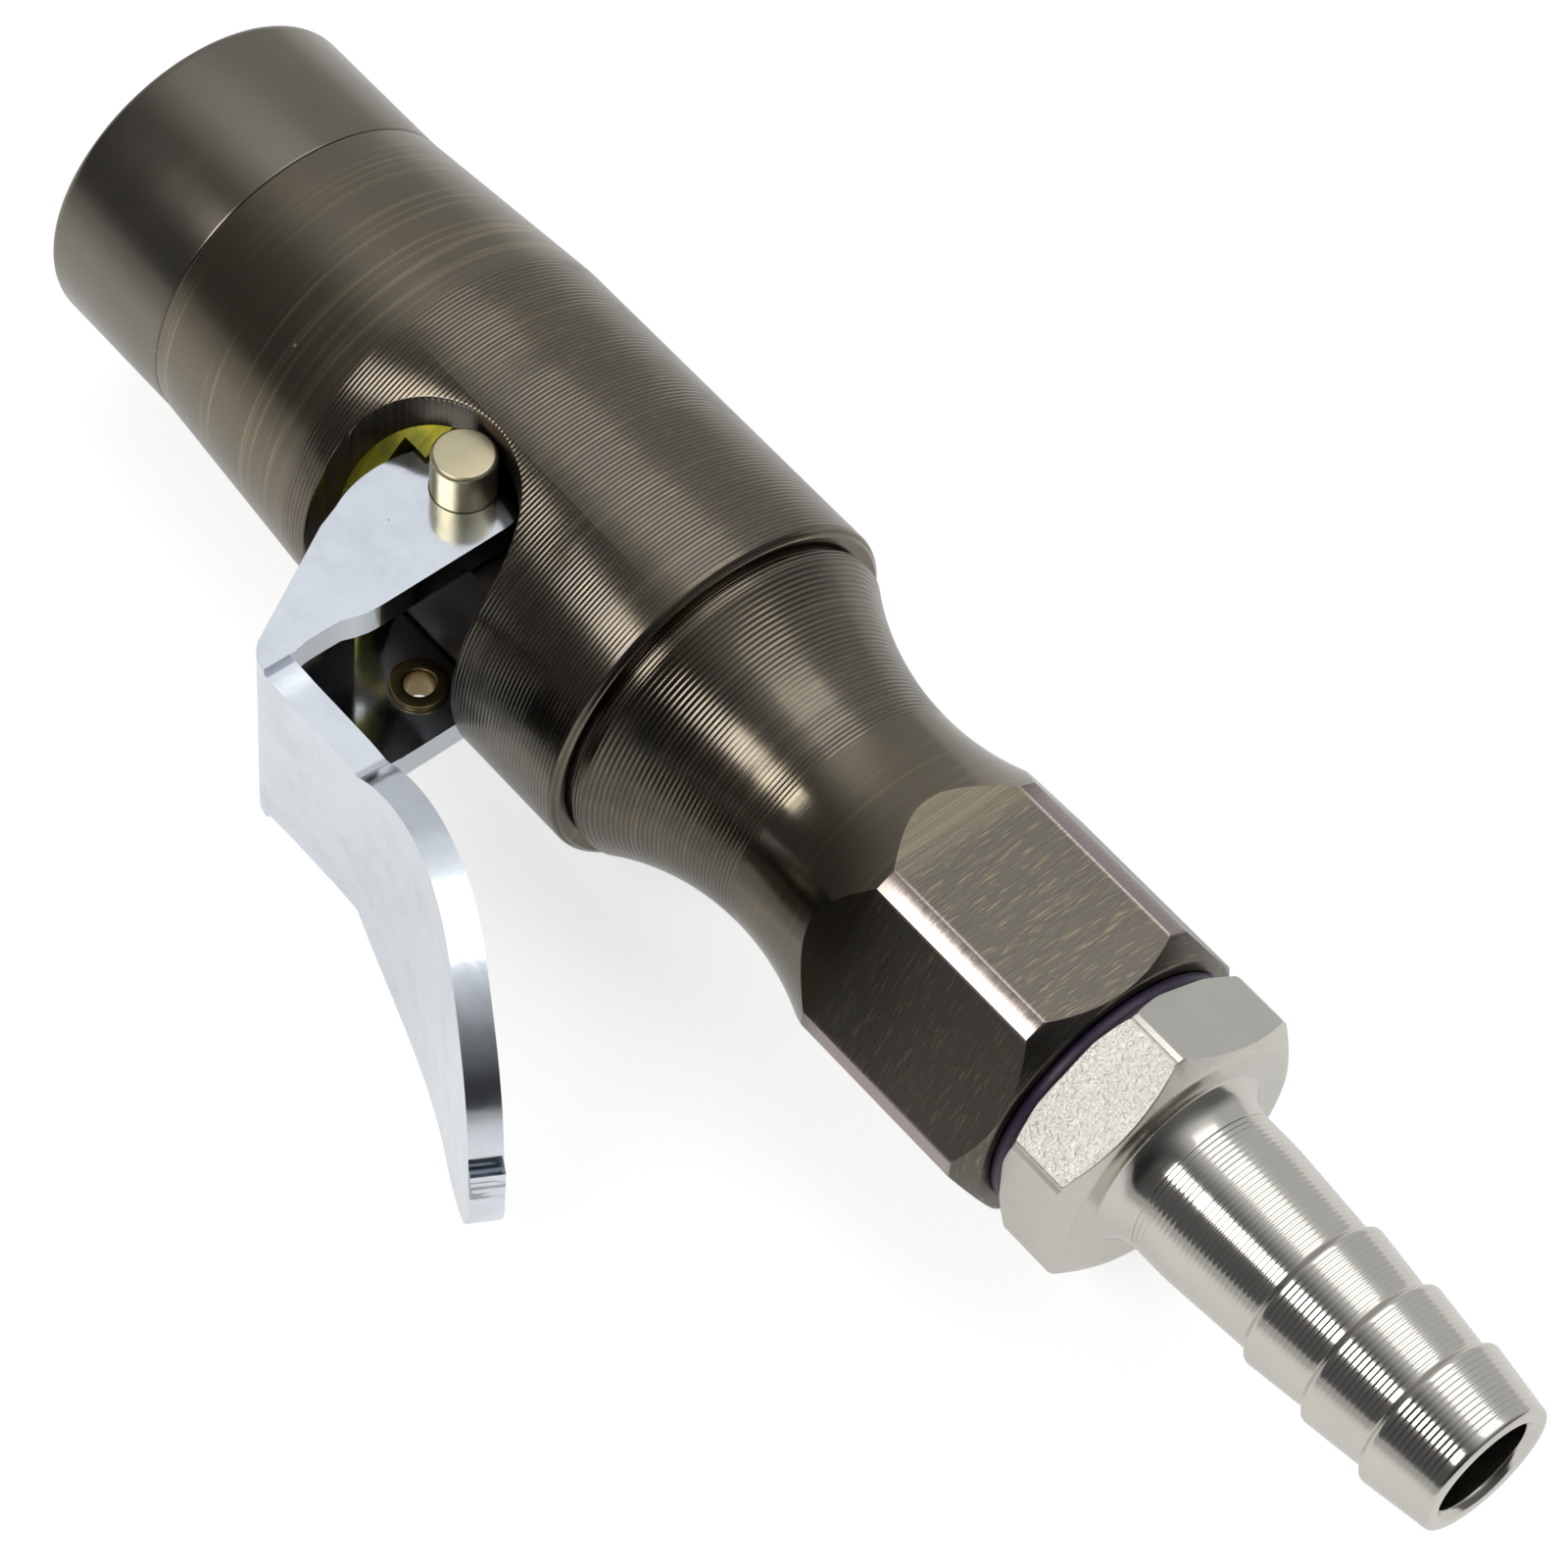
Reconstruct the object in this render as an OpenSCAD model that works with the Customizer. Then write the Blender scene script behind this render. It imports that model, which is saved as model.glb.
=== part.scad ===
// Lever-lock nozzle with a hose barb.
// X runs along the body from the mouth (x = 0) to the hose end, the lever hangs on the -Y side,
// and the lever's cross pin stands along Z.

/* [Body] */
// Outer diameter of the gripped part of the body
body_d = 25; // [23:0.5:32]
// Step in radius from the body down to the front cap
cap_step = 1.1; // [0.5:0.1:1.4]
// Length of the front cap, mouth face to seam
cap_len = 10.9; // [9:0.1:16]
// Length over which the body widens behind the seam
taper_len = 14.1; // [12:0.1:20]
// Length of the full-diameter part of the body
grip_len = 25.6; // [24:0.1:34]
// Wall of the body around its main bore
wall = 2.3; // [1.8:0.1:3]
// Waist diameter of the neck behind the grip
neck_d = 16.9; // [14:0.1:19]
// Length of the neck, shoulder to hexagon
neck_len = 19.9; // [14:0.1:26]

/* [Body hexagon] */
// Width across the flats of the body hexagon
hex_af = 19; // [17:0.5:24]
// How far the turned corners stand out past the flats
hex_turn = 1; // [0.5:0.1:1.4]
// Length of the body hexagon
hex_len = 14; // [11:0.1:20]

/* [Mouth] */
// Bore of the mouth, which takes an 8 mm valve stem
mouth_d = 8.8; // [8:0.1:10.6]
// Half angle of the cone that closes the jaws
cone_angle = 20; // [14:1:24]
// Bore between the jaws at rest
jaw_d = 8.4; // [7.6:0.1:9.4]
// Slot between neighbouring jaws
jaw_slot = 1.6; // [1.2:0.1:2.4]

/* [Lever] */
// Thickness of the lever's sheet steel
sheet_t = 2; // [1.5:0.1:2.4]
// Space between the two ears
ear_gap = 10.9; // [9:0.1:13.2]
// Radius of the round head of each ear
ear_head_r = 3.9; // [3.5:0.1:4]
// Extra width of the far ear, which carries the eyelet
far_ear_extra = 2.1; // [1.5:0.1:2.1]
// Width of the lever where it leaves the elbow
stem_w = 13.6; // [10:0.1:15]
// Diameter of the thumb pad
pad_d = 24; // [18:0.5:29]
// Radius to which the lever curves away from the body
sweep_r = 32; // [24:1:45]
// Angle through which the lever curves away
sweep_angle = 30; // [15:1:35]

/* [Cross pin] */
// Diameter of the cross pin
pin_d = 4; // [3:0.1:4.8]
// Bore of the eyelet in the far ear
eyelet_bore = 1.9; // [1.5:0.1:2.3]

/* [Hose barb] */
// Width across the flats of the barb fitting
nut_af = 17; // [15:0.5:19]
// Length of the barb fitting's hexagon
nut_len = 5.3; // [4:0.1:8]
// Diameter over the barbs, for an 8 mm hose
barb_d = 10.36; // [9:0.02:12.5]
// Distance from one barb to the next
barb_pitch = 4.6; // [3.6:0.1:6]
// Number of barbs
barb_count = 3; // [2:1:4]
// Bore of the barb fitting
barb_bore = 6.5; // [5:0.1:7.6]
// Plain shank from the hexagon to the first barb
shank_len = 11.1; // [8:0.1:16]

/* [Fits] */
// Radial clearance of a running fit
running = 0.06; // [0.04:0.01:0.09]
// Gap between screwed or pressed pieces
joined = 0.02; // [0.01:0.01:0.03]
// Gap between moving pieces that don't bear on each other
free_gap = 0.3; // [0.25:0.05:0.35]

/* [Hidden] */
$fn = 64;

// Places along the body.
seam_x = cap_len;
grip_x = seam_x + taper_len;
shoulder_x = grip_x + grip_len;
hex_x = shoulder_x + neck_len;
hex_end = hex_x + hex_len;
gasket_t = 0.8;
nut_x = hex_end + gasket_t;
nut_end = nut_x + nut_len;
first_barb_x = nut_end + shank_len;
barb_end = first_barb_x + barb_pitch * barb_count;

// Bores of the body.
body_r = body_d / 2;
cap_r = body_r - cap_step;
bore_r = body_r - wall;
bore_end = shoulder_x - 4.6;
duct_r = 3;
seat_x = hex_x - 6.5;
inlet_r = 6.5;

// Rounded shoulder, groove and neck.
shoulder_edge = 0.43;
groove_r = body_r - 1.4;
groove_w = 0.4;
band_r = body_r - 1.05;
neck_mid = hex_x - 8.6;
cove_r = 18.7;
hex_r = hex_af / 2 + hex_turn;
hex_chamfer = 1.3;

// Window that the lever's ears pass through.
window_r = 7;
window_mid = grip_x + 9;
pin_x = window_mid - 0.2;
pin_y = -5.95;
pin_r = pin_d / 2;
window_y = pin_y + pin_r + 0.05 - window_r;
pin_half = sqrt(pow(body_r, 2) - pow(pin_y, 2)) - 0.4;

// Lever in plan.
ear_in = ear_gap / 2;
ear_out = ear_in + sheet_t;
lobe_r = 8;
lobe_x = pin_x + 3.8;
lobe_y = pin_y - 3.15;
cam_x = lobe_x - lobe_r;
ear_back_x = pin_x + ear_head_r;
web_angle = -60.8;
web_x = pin_x - 2.9;
web_y = -(body_r + 1.5);
stem_y = -(body_r + 10.55);
elbow_y = stem_y + sheet_t;
elbow_x = web_x + (sheet_t - (elbow_y - web_y) * cos(web_angle)) / -sin(web_angle);
sweep_x = elbow_x + 6.4;
sweep_end_x = sweep_x + sweep_r * sin(sweep_angle);
sweep_end_y = stem_y - sweep_r * (1 - cos(sweep_angle));
pad_x = pin_x + 23.2;
pad_tip_x = pad_x + 10.4;
tip_len = (pad_tip_x + 2 - sweep_end_x) / cos(sweep_angle);
far_corner = 2.5;
eyelet_x = pin_x + 2.5;
eyelet_y = pin_y - 5.05;
eyelet_r = eyelet_bore / 2 + 0.65;
eyelet_lip = 0.35;

// Push sleeve, jaws and their spring.
sleeve_r = bore_r - running;
sleeve_wall = 1.25;
cam_gap = 0.55;
sleeve_back = cam_x - cam_gap;
sleeve_len = 7;
sleeve_front = sleeve_back - sleeve_len;
nose_r = 6.6;
nose_front = seam_x + 0.9;
tab_len = 1.95;
nose_bore_r = 4.9;
thread_r = bore_r - joined;
thread_end = seam_x + 5.2;
spring_wire_r = 0.45;
spring_r = (nose_r + bore_r) / 2 + 0.1;
washer_t = 0.5;
spring_front = thread_end + washer_t;
spring_turns = 2.5;
jaw_count = 3;
jaw_len = 7.55;
jaw_back = nose_front - 0.15;
jaw_front = jaw_back - jaw_len;
groove_pitch = 1.6;
jaw_groove_r = 0.35;
cone_front_r = mouth_d / 2 + 0.7;
cone_x = jaw_front - 1.9;
cone_end = jaw_back + 1;
cone_end_r = cone_front_r + (cone_end - cone_x) * tan(cone_angle);
jaw_gap = 0.35;

// Core block and air way.
flat_z = ear_in - eyelet_lip - 0.1;
core_front = pin_x - 2.9;
core_r = bore_r - joined;
core_neck_r = core_r - 0.5;
core_foot = window_mid + window_r + 0.9;
oring_r = 0.8;
tube_r = 3;
tube_bore_r = 1.5;
tube_socket = 4;
cup_r = 4.6;
cup_wall = 0.6;
cup_front = seam_x + 2.6;
cup_back = cup_front + 3.4;
tube_front = cup_front + 1;
rod_r = 0.8;
rod_front = cup_front - 3;

// Check valve.
poppet_r = 5;
poppet_len = 3;
poppet_ring_r = 0.7;
poppet_gap = poppet_ring_r + 0.05;
seat_t = 2;
seat_r = inlet_r - joined;
poppet_x = seat_x + seat_t + poppet_gap;
guide_x = poppet_x + poppet_len + 6;
guide_t = 2.6;
screen_t = 0.6;
stem_r = 1.2;
spigot_front = guide_x + guide_t + screen_t;

// Barb fitting.
nut_turn = -26.5;
nut_r = nut_af / 2 + 1.15;
barb_r = barb_d / 2;
root_r = barb_r - 0.45;

// Solid of revolution about X. Points are [radius, x].
module turned(points) {
    rotate([0, 90, 0]) rotate_extrude() polygon(points);
}

// Cylinder or cone along X.
module bar(x0, x1, r0, r1) {
    translate([x0, 0, 0]) rotate([0, 90, 0]) cylinder(h = x1 - x0, r1 = r0, r2 = r1);
}

module ring(x0, x1, r_in, r_out) {
    difference() {
        bar(x0, x1, r_out, r_out);
        bar(x0 - 1, x1 + 1, r_in, r_in);
    }
}

module torus(x, r_mid, r_wire) {
    translate([x, 0, 0]) rotate([0, 90, 0]) rotate_extrude() translate([r_mid, 0]) circle(r = r_wire);
}

// Hexagonal bar along X with flats facing +Z and -Z, turned by an angle about X.
module hex_bar(x0, x1, af, turn = 0) {
    translate([x0, 0, 0]) rotate([turn, 0, 0]) rotate([0, 90, 0]) rotate([0, 0, 30])
        cylinder(h = x1 - x0, r = af / sqrt(3), $fn = 6);
}

// Coil spring along X: one tube swept along a helix with closed ends.
function coil_points(x0, x1, r, wire, turns, sides, steps) = [
    for (i = [0 : steps], k = [0 : sides - 1])
        let (t = i / steps, a = 360 * turns * t, b = 360 * k / sides, q = r + wire * cos(b))
            [x0 + wire + (x1 - x0 - 2 * wire) * t + wire * sin(b), q * cos(a), q * sin(a)]
];

module coil_spring(x0, x1, r, wire, turns) {
    sides = 8;
    steps = 20 * turns;
    points = coil_points(x0, x1, r, wire, turns, sides, steps);
    walls = [
        for (i = [0 : steps - 1], k = [0 : sides - 1])
            let (n = (k + 1) % sides, a = i * sides, b = a + sides)
                [a + k, b + k, b + n, a + n]
    ];
    first = [for (k = [0 : sides - 1]) k];
    last = [for (k = [sides - 1 : -1 : 0]) steps * sides + k];
    polyhedron(points = points, faces = concat([first], walls, [last]), convexity = 6);
}

module window_cut() {
    translate([window_mid, window_y, -body_r - 1]) cylinder(h = body_d + 2, r = window_r);
    translate([window_mid - window_r, -body_r - 5, -body_r - 1])
        cube([2 * window_r, body_r + 5 + window_y, body_d + 2]);
}

module body_front() {
    bar(seam_x, grip_x, cap_r, body_r);
    bar(grip_x, shoulder_x - shoulder_edge, body_r, body_r);
    bar(shoulder_x - shoulder_edge, shoulder_x, body_r, body_r - shoulder_edge);
    bar(shoulder_x, shoulder_x + groove_w, groove_r, groove_r);
}

module body_back() {
    intersection() {
        difference() {
            union() {
                bar(shoulder_x + groove_w, neck_mid, band_r, band_r);
                bar(neck_mid, hex_end - hex_chamfer, hex_r, hex_r);
                bar(hex_end - hex_chamfer, hex_end, hex_r, hex_af / 2 - 0.1);
            }
            torus(neck_mid, neck_d / 2 + cove_r, cove_r);
        }
        union() {
            bar(shoulder_x, neck_mid + 1, body_r, body_r);
            hex_bar(neck_mid, hex_end + 1, hex_af);
        }
    }
}

module main_body() {
    color("#4a4640") difference() {
        union() {
            body_front();
            body_back();
        }
        bar(seam_x - 1, bore_end, bore_r, bore_r);
        bar(bore_end - 1, seat_x + 1, duct_r, duct_r);
        bar(seat_x, hex_end + 1, inlet_r, inlet_r);
        window_cut();
    }
}

module front_cap() {
    chamfer = 0.6;
    color("#55524a") difference() {
        union() {
            bar(chamfer, seam_x, cap_r, cap_r);
            bar(0, chamfer, cap_r - chamfer, cap_r);
            bar(seam_x, thread_end, thread_r, thread_r);
        }
        bar(-1, cone_x + 0.5, mouth_d / 2, mouth_d / 2);
        bar(cone_x, cone_end, cone_front_r, cone_end_r);
        bar(cone_end - 0.01, thread_end + 1, cone_end_r, cone_end_r);
    }
}

// One jaw: a third of a cone ring, centred on +Z, with grip grooves in its bore.
module jaw(index) {
    middle = 360 * index / jaw_count;
    edge = 90 - 180 / jaw_count;
    back_r = cone_front_r + (jaw_back - cone_x) * tan(cone_angle) - jaw_gap / cos(cone_angle);
    front_r = back_r - (jaw_back - jaw_front) * tan(cone_angle);
    jaw_r = jaw_d / 2;
    color("#8d8f92") rotate([middle, 0, 0]) difference() {
        bar(jaw_front, jaw_back, front_r, back_r);
        bar(jaw_front - 1, jaw_back + 1, jaw_r, jaw_r);
        for (i = [0 : 2]) torus(jaw_front + 1.4 + groove_pitch * i, jaw_r, jaw_groove_r);
        for (a = [-edge, edge]) rotate([a, 0, 0]) translate([jaw_front - 1, -body_d, -body_d])
            cube([jaw_back - jaw_front + 2, 2 * body_d, body_d + jaw_slot / 2]);
    }
}

// Yellow sleeve: its nose pushes the jaws, and its two back tabs straddle the ears.
module push_sleeve() {
    color("#b9a92e") difference() {
        union() {
            bar(sleeve_front, sleeve_back + tab_len, sleeve_r, sleeve_r);
            bar(nose_front, sleeve_front + 1, nose_r, nose_r);
        }
        bar(sleeve_front + 1.6, sleeve_back + tab_len + 1, sleeve_r - sleeve_wall, sleeve_r - sleeve_wall);
        bar(nose_front - 1, sleeve_front + 2, nose_bore_r, nose_bore_r);
        translate([sleeve_back, -body_r, -ear_out - free_gap])
            cube([tab_len + 1, body_d, 2 * (ear_out + free_gap)]);
    }
}

module sleeve_spring() {
    color("#b5b7ba") coil_spring(spring_front, sleeve_front, spring_r, spring_wire_r, spring_turns);
}

module spring_washer() {
    color("#9a9ca0") ring(thread_end, spring_front, nose_r + free_gap, core_r - 0.1);
}

module air_tube() {
    color("#b08d4a") difference() {
        bar(tube_front, core_front + tube_socket - joined, tube_r, tube_r);
        bar(tube_front + 1, core_front + 5, tube_bore_r, tube_bore_r);
        bar(tube_front - 1, tube_front + 2, rod_r + 0.2, rod_r + 0.2);
    }
}

module seal_cup() {
    color("#b08d4a") difference() {
        bar(cup_front, cup_back, cup_r, cup_r);
        bar(tube_front, cup_back + 1, tube_r + joined, tube_r + joined);
        bar(cup_front - 1, tube_front, cup_r - cup_wall, cup_r - cup_wall);
    }
}

module stem_seal() {
    color("#202020") ring(cup_front - 0.6, tube_front, 2 * rod_r + 0.1, cup_r - cup_wall - joined);
}

// Long push rod: a tyre valve presses its front end, and its back end lifts the poppet.
module depressor_pin() {
    color("#c9b36a") union() {
        bar(rod_front, poppet_x + 1.2, rod_r, rod_r);
        bar(tube_front + 1.05, tube_front + 3, tube_bore_r - running, tube_bore_r - running);
    }
}

module core_block() {
    color("#3b3834") difference() {
        union() {
            intersection() {
                bar(core_front, core_foot, core_neck_r, core_neck_r);
                translate([core_front, -body_r, -flat_z])
                    cube([core_foot - core_front, body_d, 2 * flat_z]);
            }
            bar(core_foot, bore_end - joined, core_r, core_r);
        }
        bar(core_front - 1, core_front + tube_socket, tube_r + joined, tube_r + joined);
        bar(core_front, bore_end + 1, tube_bore_r, tube_bore_r);
        torus((core_foot + bore_end) / 2, core_r, oring_r);
        translate([pin_x, pin_y, -body_r]) cylinder(h = body_d, r = pin_r + joined);
    }
}

module core_oring() {
    color("#1c1c1c") intersection() {
        torus((core_foot + bore_end) / 2, core_r, oring_r - joined);
        bar(core_foot, bore_end, core_r, core_r);
    }
}

module cross_pin() {
    edge = 0.2;
    color("#c8bd8e") translate([pin_x, pin_y, 0]) rotate_extrude() polygon([
        [0, -pin_half], [pin_r - edge, -pin_half], [pin_r, -pin_half + edge],
        [pin_r, pin_half - edge], [pin_r - edge, pin_half], [0, pin_half]
    ]);
}

// Plan outline of an ear: round head on the pin, cam lobe in front, straight back edge.
module ear_plan(extra) {
    back = ear_back_x + extra;
    difference() {
        union() {
            translate([pin_x, pin_y]) circle(r = ear_head_r);
            intersection() {
                translate([lobe_x, lobe_y]) circle(r = lobe_r);
                polygon([
                    [cam_x, web_y], [back, web_y], [back, pin_y - far_corner], [ear_back_x, pin_y], [cam_x, pin_y]
                ]);
            }
            polygon([
                [web_x + 0.1, lobe_y - 4.3], [back, lobe_y - 4.3], [back, web_y - 1.6], [back - 0.4, web_y - 3.4],
                [elbow_x - 0.2, elbow_y + 2.3], [elbow_x - 0.4, elbow_y + 0.8],
                [elbow_x - sheet_t, elbow_y + 0.4]
            ]);
        }
        translate([pin_x, pin_y]) circle(r = pin_r + running);
    }
}

module ear(z0, extra) {
    translate([0, 0, z0]) linear_extrude(height = sheet_t) ear_plan(extra);
}

// Points on an arc about a centre.
function arc(x, y, r, from, to, steps) = [
    for (i = [0 : steps]) let (a = from + (to - from) * i / steps) [x + r * cos(a), y + r * sin(a)]
];

// One long face of the bent strip in plan: front web, elbow, stem, sweep and tip.
function strip_side(offset, elbow_r, steps) = concat(
    [[web_x - offset * sin(web_angle), web_y + offset * cos(web_angle)]],
    elbow_r > 0 ? arc(elbow_x, elbow_y, elbow_r, web_angle - 90, -90, steps) : [[elbow_x, elbow_y]],
    arc(sweep_x, stem_y - sweep_r, sweep_r + offset, 90, 90 - sweep_angle, 2 * steps),
    [[
        sweep_end_x + tip_len * cos(sweep_angle) + offset * sin(sweep_angle),
        sweep_end_y - tip_len * sin(sweep_angle) + offset * cos(sweep_angle)
    ]]
);

module strip_plan() {
    outer = strip_side(0, sheet_t, 6);
    inner = strip_side(sheet_t, 0, 6);
    last = len(inner) - 1;
    polygon(concat(outer, [for (i = [last : -1 : 0]) inner[i]]));
}

// Width of the strip seen from the side: web, stem, round thumb pad and cut tip.
module strip_width() {
    translate([web_x - 5, -ear_out]) square([elbow_x - web_x + 5, 2 * ear_out]);
    translate([elbow_x - 1, -stem_w / 2]) square([pad_x - elbow_x, stem_w]);
    intersection() {
        translate([pad_x, 0]) circle(r = pad_d / 2);
        translate([elbow_x, -pad_d]) square([pad_tip_x - elbow_x, 2 * pad_d]);
    }
}

module lever() {
    color("#c9ced3") difference() {
        union() {
            ear(ear_in, 0);
            ear(-ear_out, far_ear_extra);
            intersection() {
                translate([0, 0, -body_d]) linear_extrude(height = 2 * body_d) strip_plan();
                rotate([90, 0, 0]) translate([0, 0, -body_r]) linear_extrude(height = 4 * body_d) strip_width();
            }
        }
        translate([eyelet_x, eyelet_y, -ear_out - 1]) cylinder(h = sheet_t + 2, r = eyelet_r);
    }
}

module lanyard_eyelet() {
    rim = eyelet_lip - joined;
    color("#c0a050") translate([eyelet_x, eyelet_y, -ear_out - eyelet_lip]) difference() {
        union() {
            cylinder(h = sheet_t + 2 * eyelet_lip, r = eyelet_r - joined);
            cylinder(h = rim, r = eyelet_r + 0.3);
            translate([0, 0, sheet_t + eyelet_lip + joined]) cylinder(h = rim, r = eyelet_r + 0.3);
        }
        translate([0, 0, -1]) cylinder(h = sheet_t + 4, r = eyelet_bore / 2);
    }
}

module check_seat() {
    color("#b08d4a") difference() {
        bar(seat_x + joined, seat_x + seat_t, seat_r, seat_r);
        bar(seat_x - 1, seat_x + seat_t + 1, duct_r - 0.6, duct_r - 0.6);
    }
}

module check_poppet() {
    color("#a8aaad") difference() {
        union() {
            bar(poppet_x, poppet_x + poppet_len, poppet_r, poppet_r);
            bar(poppet_x + poppet_len, guide_x + 0.8, stem_r, stem_r);
        }
        torus(poppet_x, duct_r + poppet_ring_r, poppet_ring_r);
        bar(poppet_x - 1, poppet_x + 1.2 + joined, rod_r + joined, rod_r + joined);
        for (a = [0 : 120 : 240]) rotate([a, 0, 0])
            translate([poppet_x - 1, 0, poppet_r]) rotate([0, 90, 0]) cylinder(h = poppet_len + 2, r = 0.9);
    }
}

module poppet_oring() {
    color("#1c1c1c") torus(poppet_x, duct_r + poppet_ring_r, poppet_ring_r - joined);
}

module poppet_spring() {
    color("#b5b7ba") coil_spring(poppet_x + poppet_len, guide_x, 2.6, 0.4, 4);
}

module poppet_guide() {
    color("#b08d4a") difference() {
        bar(guide_x, guide_x + guide_t, seat_r, seat_r);
        bar(guide_x - 1, guide_x + guide_t + 1, stem_r + running, stem_r + running);
        for (a = [0 : 60 : 300]) rotate([a, 0, 0])
            translate([guide_x - 1, 0, 4.6]) rotate([0, 90, 0]) cylinder(h = guide_t + 2, r = 1.1);
    }
}

module filter_screen() {
    color("#c0a050") difference() {
        bar(guide_x + guide_t + joined, spigot_front - joined, seat_r, seat_r);
        for (a = [0 : 45 : 315], q = [2.2, 4.2]) rotate([a, 0, 0])
            translate([guide_x, 0, q]) rotate([0, 90, 0]) cylinder(h = 6, r = 0.5);
    }
}

module inlet_gasket() {
    color("#2b2430") ring(hex_end + joined, nut_x - joined, inlet_r + joined, hex_af / 2 - 0.8);
}

// Plain shank, then barbs that are steep towards the hexagon and slope down towards the end.
module barb_outline() {
    turned(concat(
        [[0, nut_end - 1], [barb_r + 1, nut_end - 1], [barb_r + 1, nut_end], [barb_r + 0.3, nut_end + 0.7]],
        [[barb_r, nut_end + 1.7], [barb_r, nut_end + 4.4], [root_r, first_barb_x - 0.5]],
        [for (i = [0 : barb_count - 2], p = [[barb_r, 0], [root_r, barb_pitch - 0.5]])
            [p[0], first_barb_x + i * barb_pitch + p[1]]],
        [[barb_r, barb_end - barb_pitch], [root_r - 0.1, barb_end - 0.6], [root_r - 0.5, barb_end - 0.1]],
        [[root_r - 0.7, barb_end], [0, barb_end]]
    ));
}

module hose_barb() {
    color("#cfc9bd") difference() {
        union() {
            bar(spigot_front, nut_x + 1, inlet_r - joined, inlet_r - joined);
            intersection() {
                hex_bar(nut_x, nut_end, nut_af, nut_turn);
                union() {
                    bar(nut_x, nut_x + 0.6, nut_r - 0.95, nut_r);
                    bar(nut_x + 0.6, nut_end - 0.9, nut_r, nut_r);
                    bar(nut_end - 0.9, nut_end, nut_r, nut_af / 2 - 0.4);
                }
            }
            barb_outline();
        }
        bar(spigot_front - 1, barb_end + 1, barb_bore / 2, barb_bore / 2);
        bar(barb_end - 0.4, barb_end + 0.01, barb_bore / 2, barb_bore / 2 + 0.4);
    }
}

main_body();
front_cap();
jaw(0);  // jaw_1
jaw(1);  // jaw_2
jaw(2);  // jaw_3
push_sleeve();
sleeve_spring();
spring_washer();
air_tube();
stem_seal();
seal_cup();
depressor_pin();
core_block();
core_oring();
cross_pin();
lever();
lanyard_eyelet();
check_seat();
check_poppet();
poppet_oring();
poppet_spring();
poppet_guide();
filter_screen();
inlet_gasket();
hose_barb();
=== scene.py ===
import math

import bmesh
import bpy
from bpy.props import FloatProperty, FloatVectorProperty, IntProperty, PointerProperty
from mathutils import Matrix, Vector


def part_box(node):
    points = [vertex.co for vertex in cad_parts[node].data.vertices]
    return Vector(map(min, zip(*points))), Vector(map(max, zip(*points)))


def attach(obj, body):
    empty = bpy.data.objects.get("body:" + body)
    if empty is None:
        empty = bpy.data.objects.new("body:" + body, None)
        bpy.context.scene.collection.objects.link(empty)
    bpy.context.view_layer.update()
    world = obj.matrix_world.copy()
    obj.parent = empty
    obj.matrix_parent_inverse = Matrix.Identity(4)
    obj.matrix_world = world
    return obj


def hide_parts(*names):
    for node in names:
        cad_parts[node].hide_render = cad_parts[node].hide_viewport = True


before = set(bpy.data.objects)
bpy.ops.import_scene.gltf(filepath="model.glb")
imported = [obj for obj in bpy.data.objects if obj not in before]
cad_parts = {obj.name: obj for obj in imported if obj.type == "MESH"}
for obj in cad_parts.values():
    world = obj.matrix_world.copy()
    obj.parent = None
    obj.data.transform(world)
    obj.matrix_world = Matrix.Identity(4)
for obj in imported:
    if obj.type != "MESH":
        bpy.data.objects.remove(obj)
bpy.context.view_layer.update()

bl_info = {
    "name": "Lever-lock hose nozzle",
    "version": (1, 0, 0),
    "blender": (4, 5, 0),
    "location": "3D View > Sidebar > Nozzle",
    "description": "Models and finishes the visible pieces of a lever-lock hose nozzle",
    "category": "Object",
}

MM = 0.001
IOR = 1.5  # refraction of coats, rubber and the floor
BEVEL_RATIO = 4  # a face this many times larger than its neighbour meets it at a crisp edge
FLAT_FROM = 30  # a face with this many corners is a flat and isn't shaded smooth
CAP_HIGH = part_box("front_cap")[1]
BODY_LOW, BODY_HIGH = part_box("main_body")
GASKET_LOW, GASKET_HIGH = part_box("inlet_gasket")
BARB_LOW, BARB_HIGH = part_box("hose_barb")
LEVER_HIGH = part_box("lever")[1]
PIN_LOW, PIN_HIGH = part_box("cross_pin")
EYELET_LOW, EYELET_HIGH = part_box("lanyard_eyelet")
PIN_X = (PIN_LOW.x + PIN_HIGH.x) / 2
PIN_Y = (PIN_LOW.y + PIN_HIGH.y) / 2
LEVER_START_Y = -14 * MM  # where the lever's front web begins
FAR_CORNER = 3.1 * MM  # how far below the pin the far ear's back corner is cut to clear the window
FAR_EXTRA = 2.1 * MM  # how much wider the far ear is than the other
SLIVER = 0.004 * MM  # edges shorter than this on the bevelled strip are merged


def length(name, description, default):
    """A size that the sidebar shows as a length."""
    return FloatProperty(name=name, description=description, default=default, unit="LENGTH", precision=5)


def paint(name, description, default):
    """A colour that the sidebar shows as a swatch."""
    return FloatVectorProperty(
        name=name, description=description, default=default, subtype="COLOR", min=0, max=1)


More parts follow.
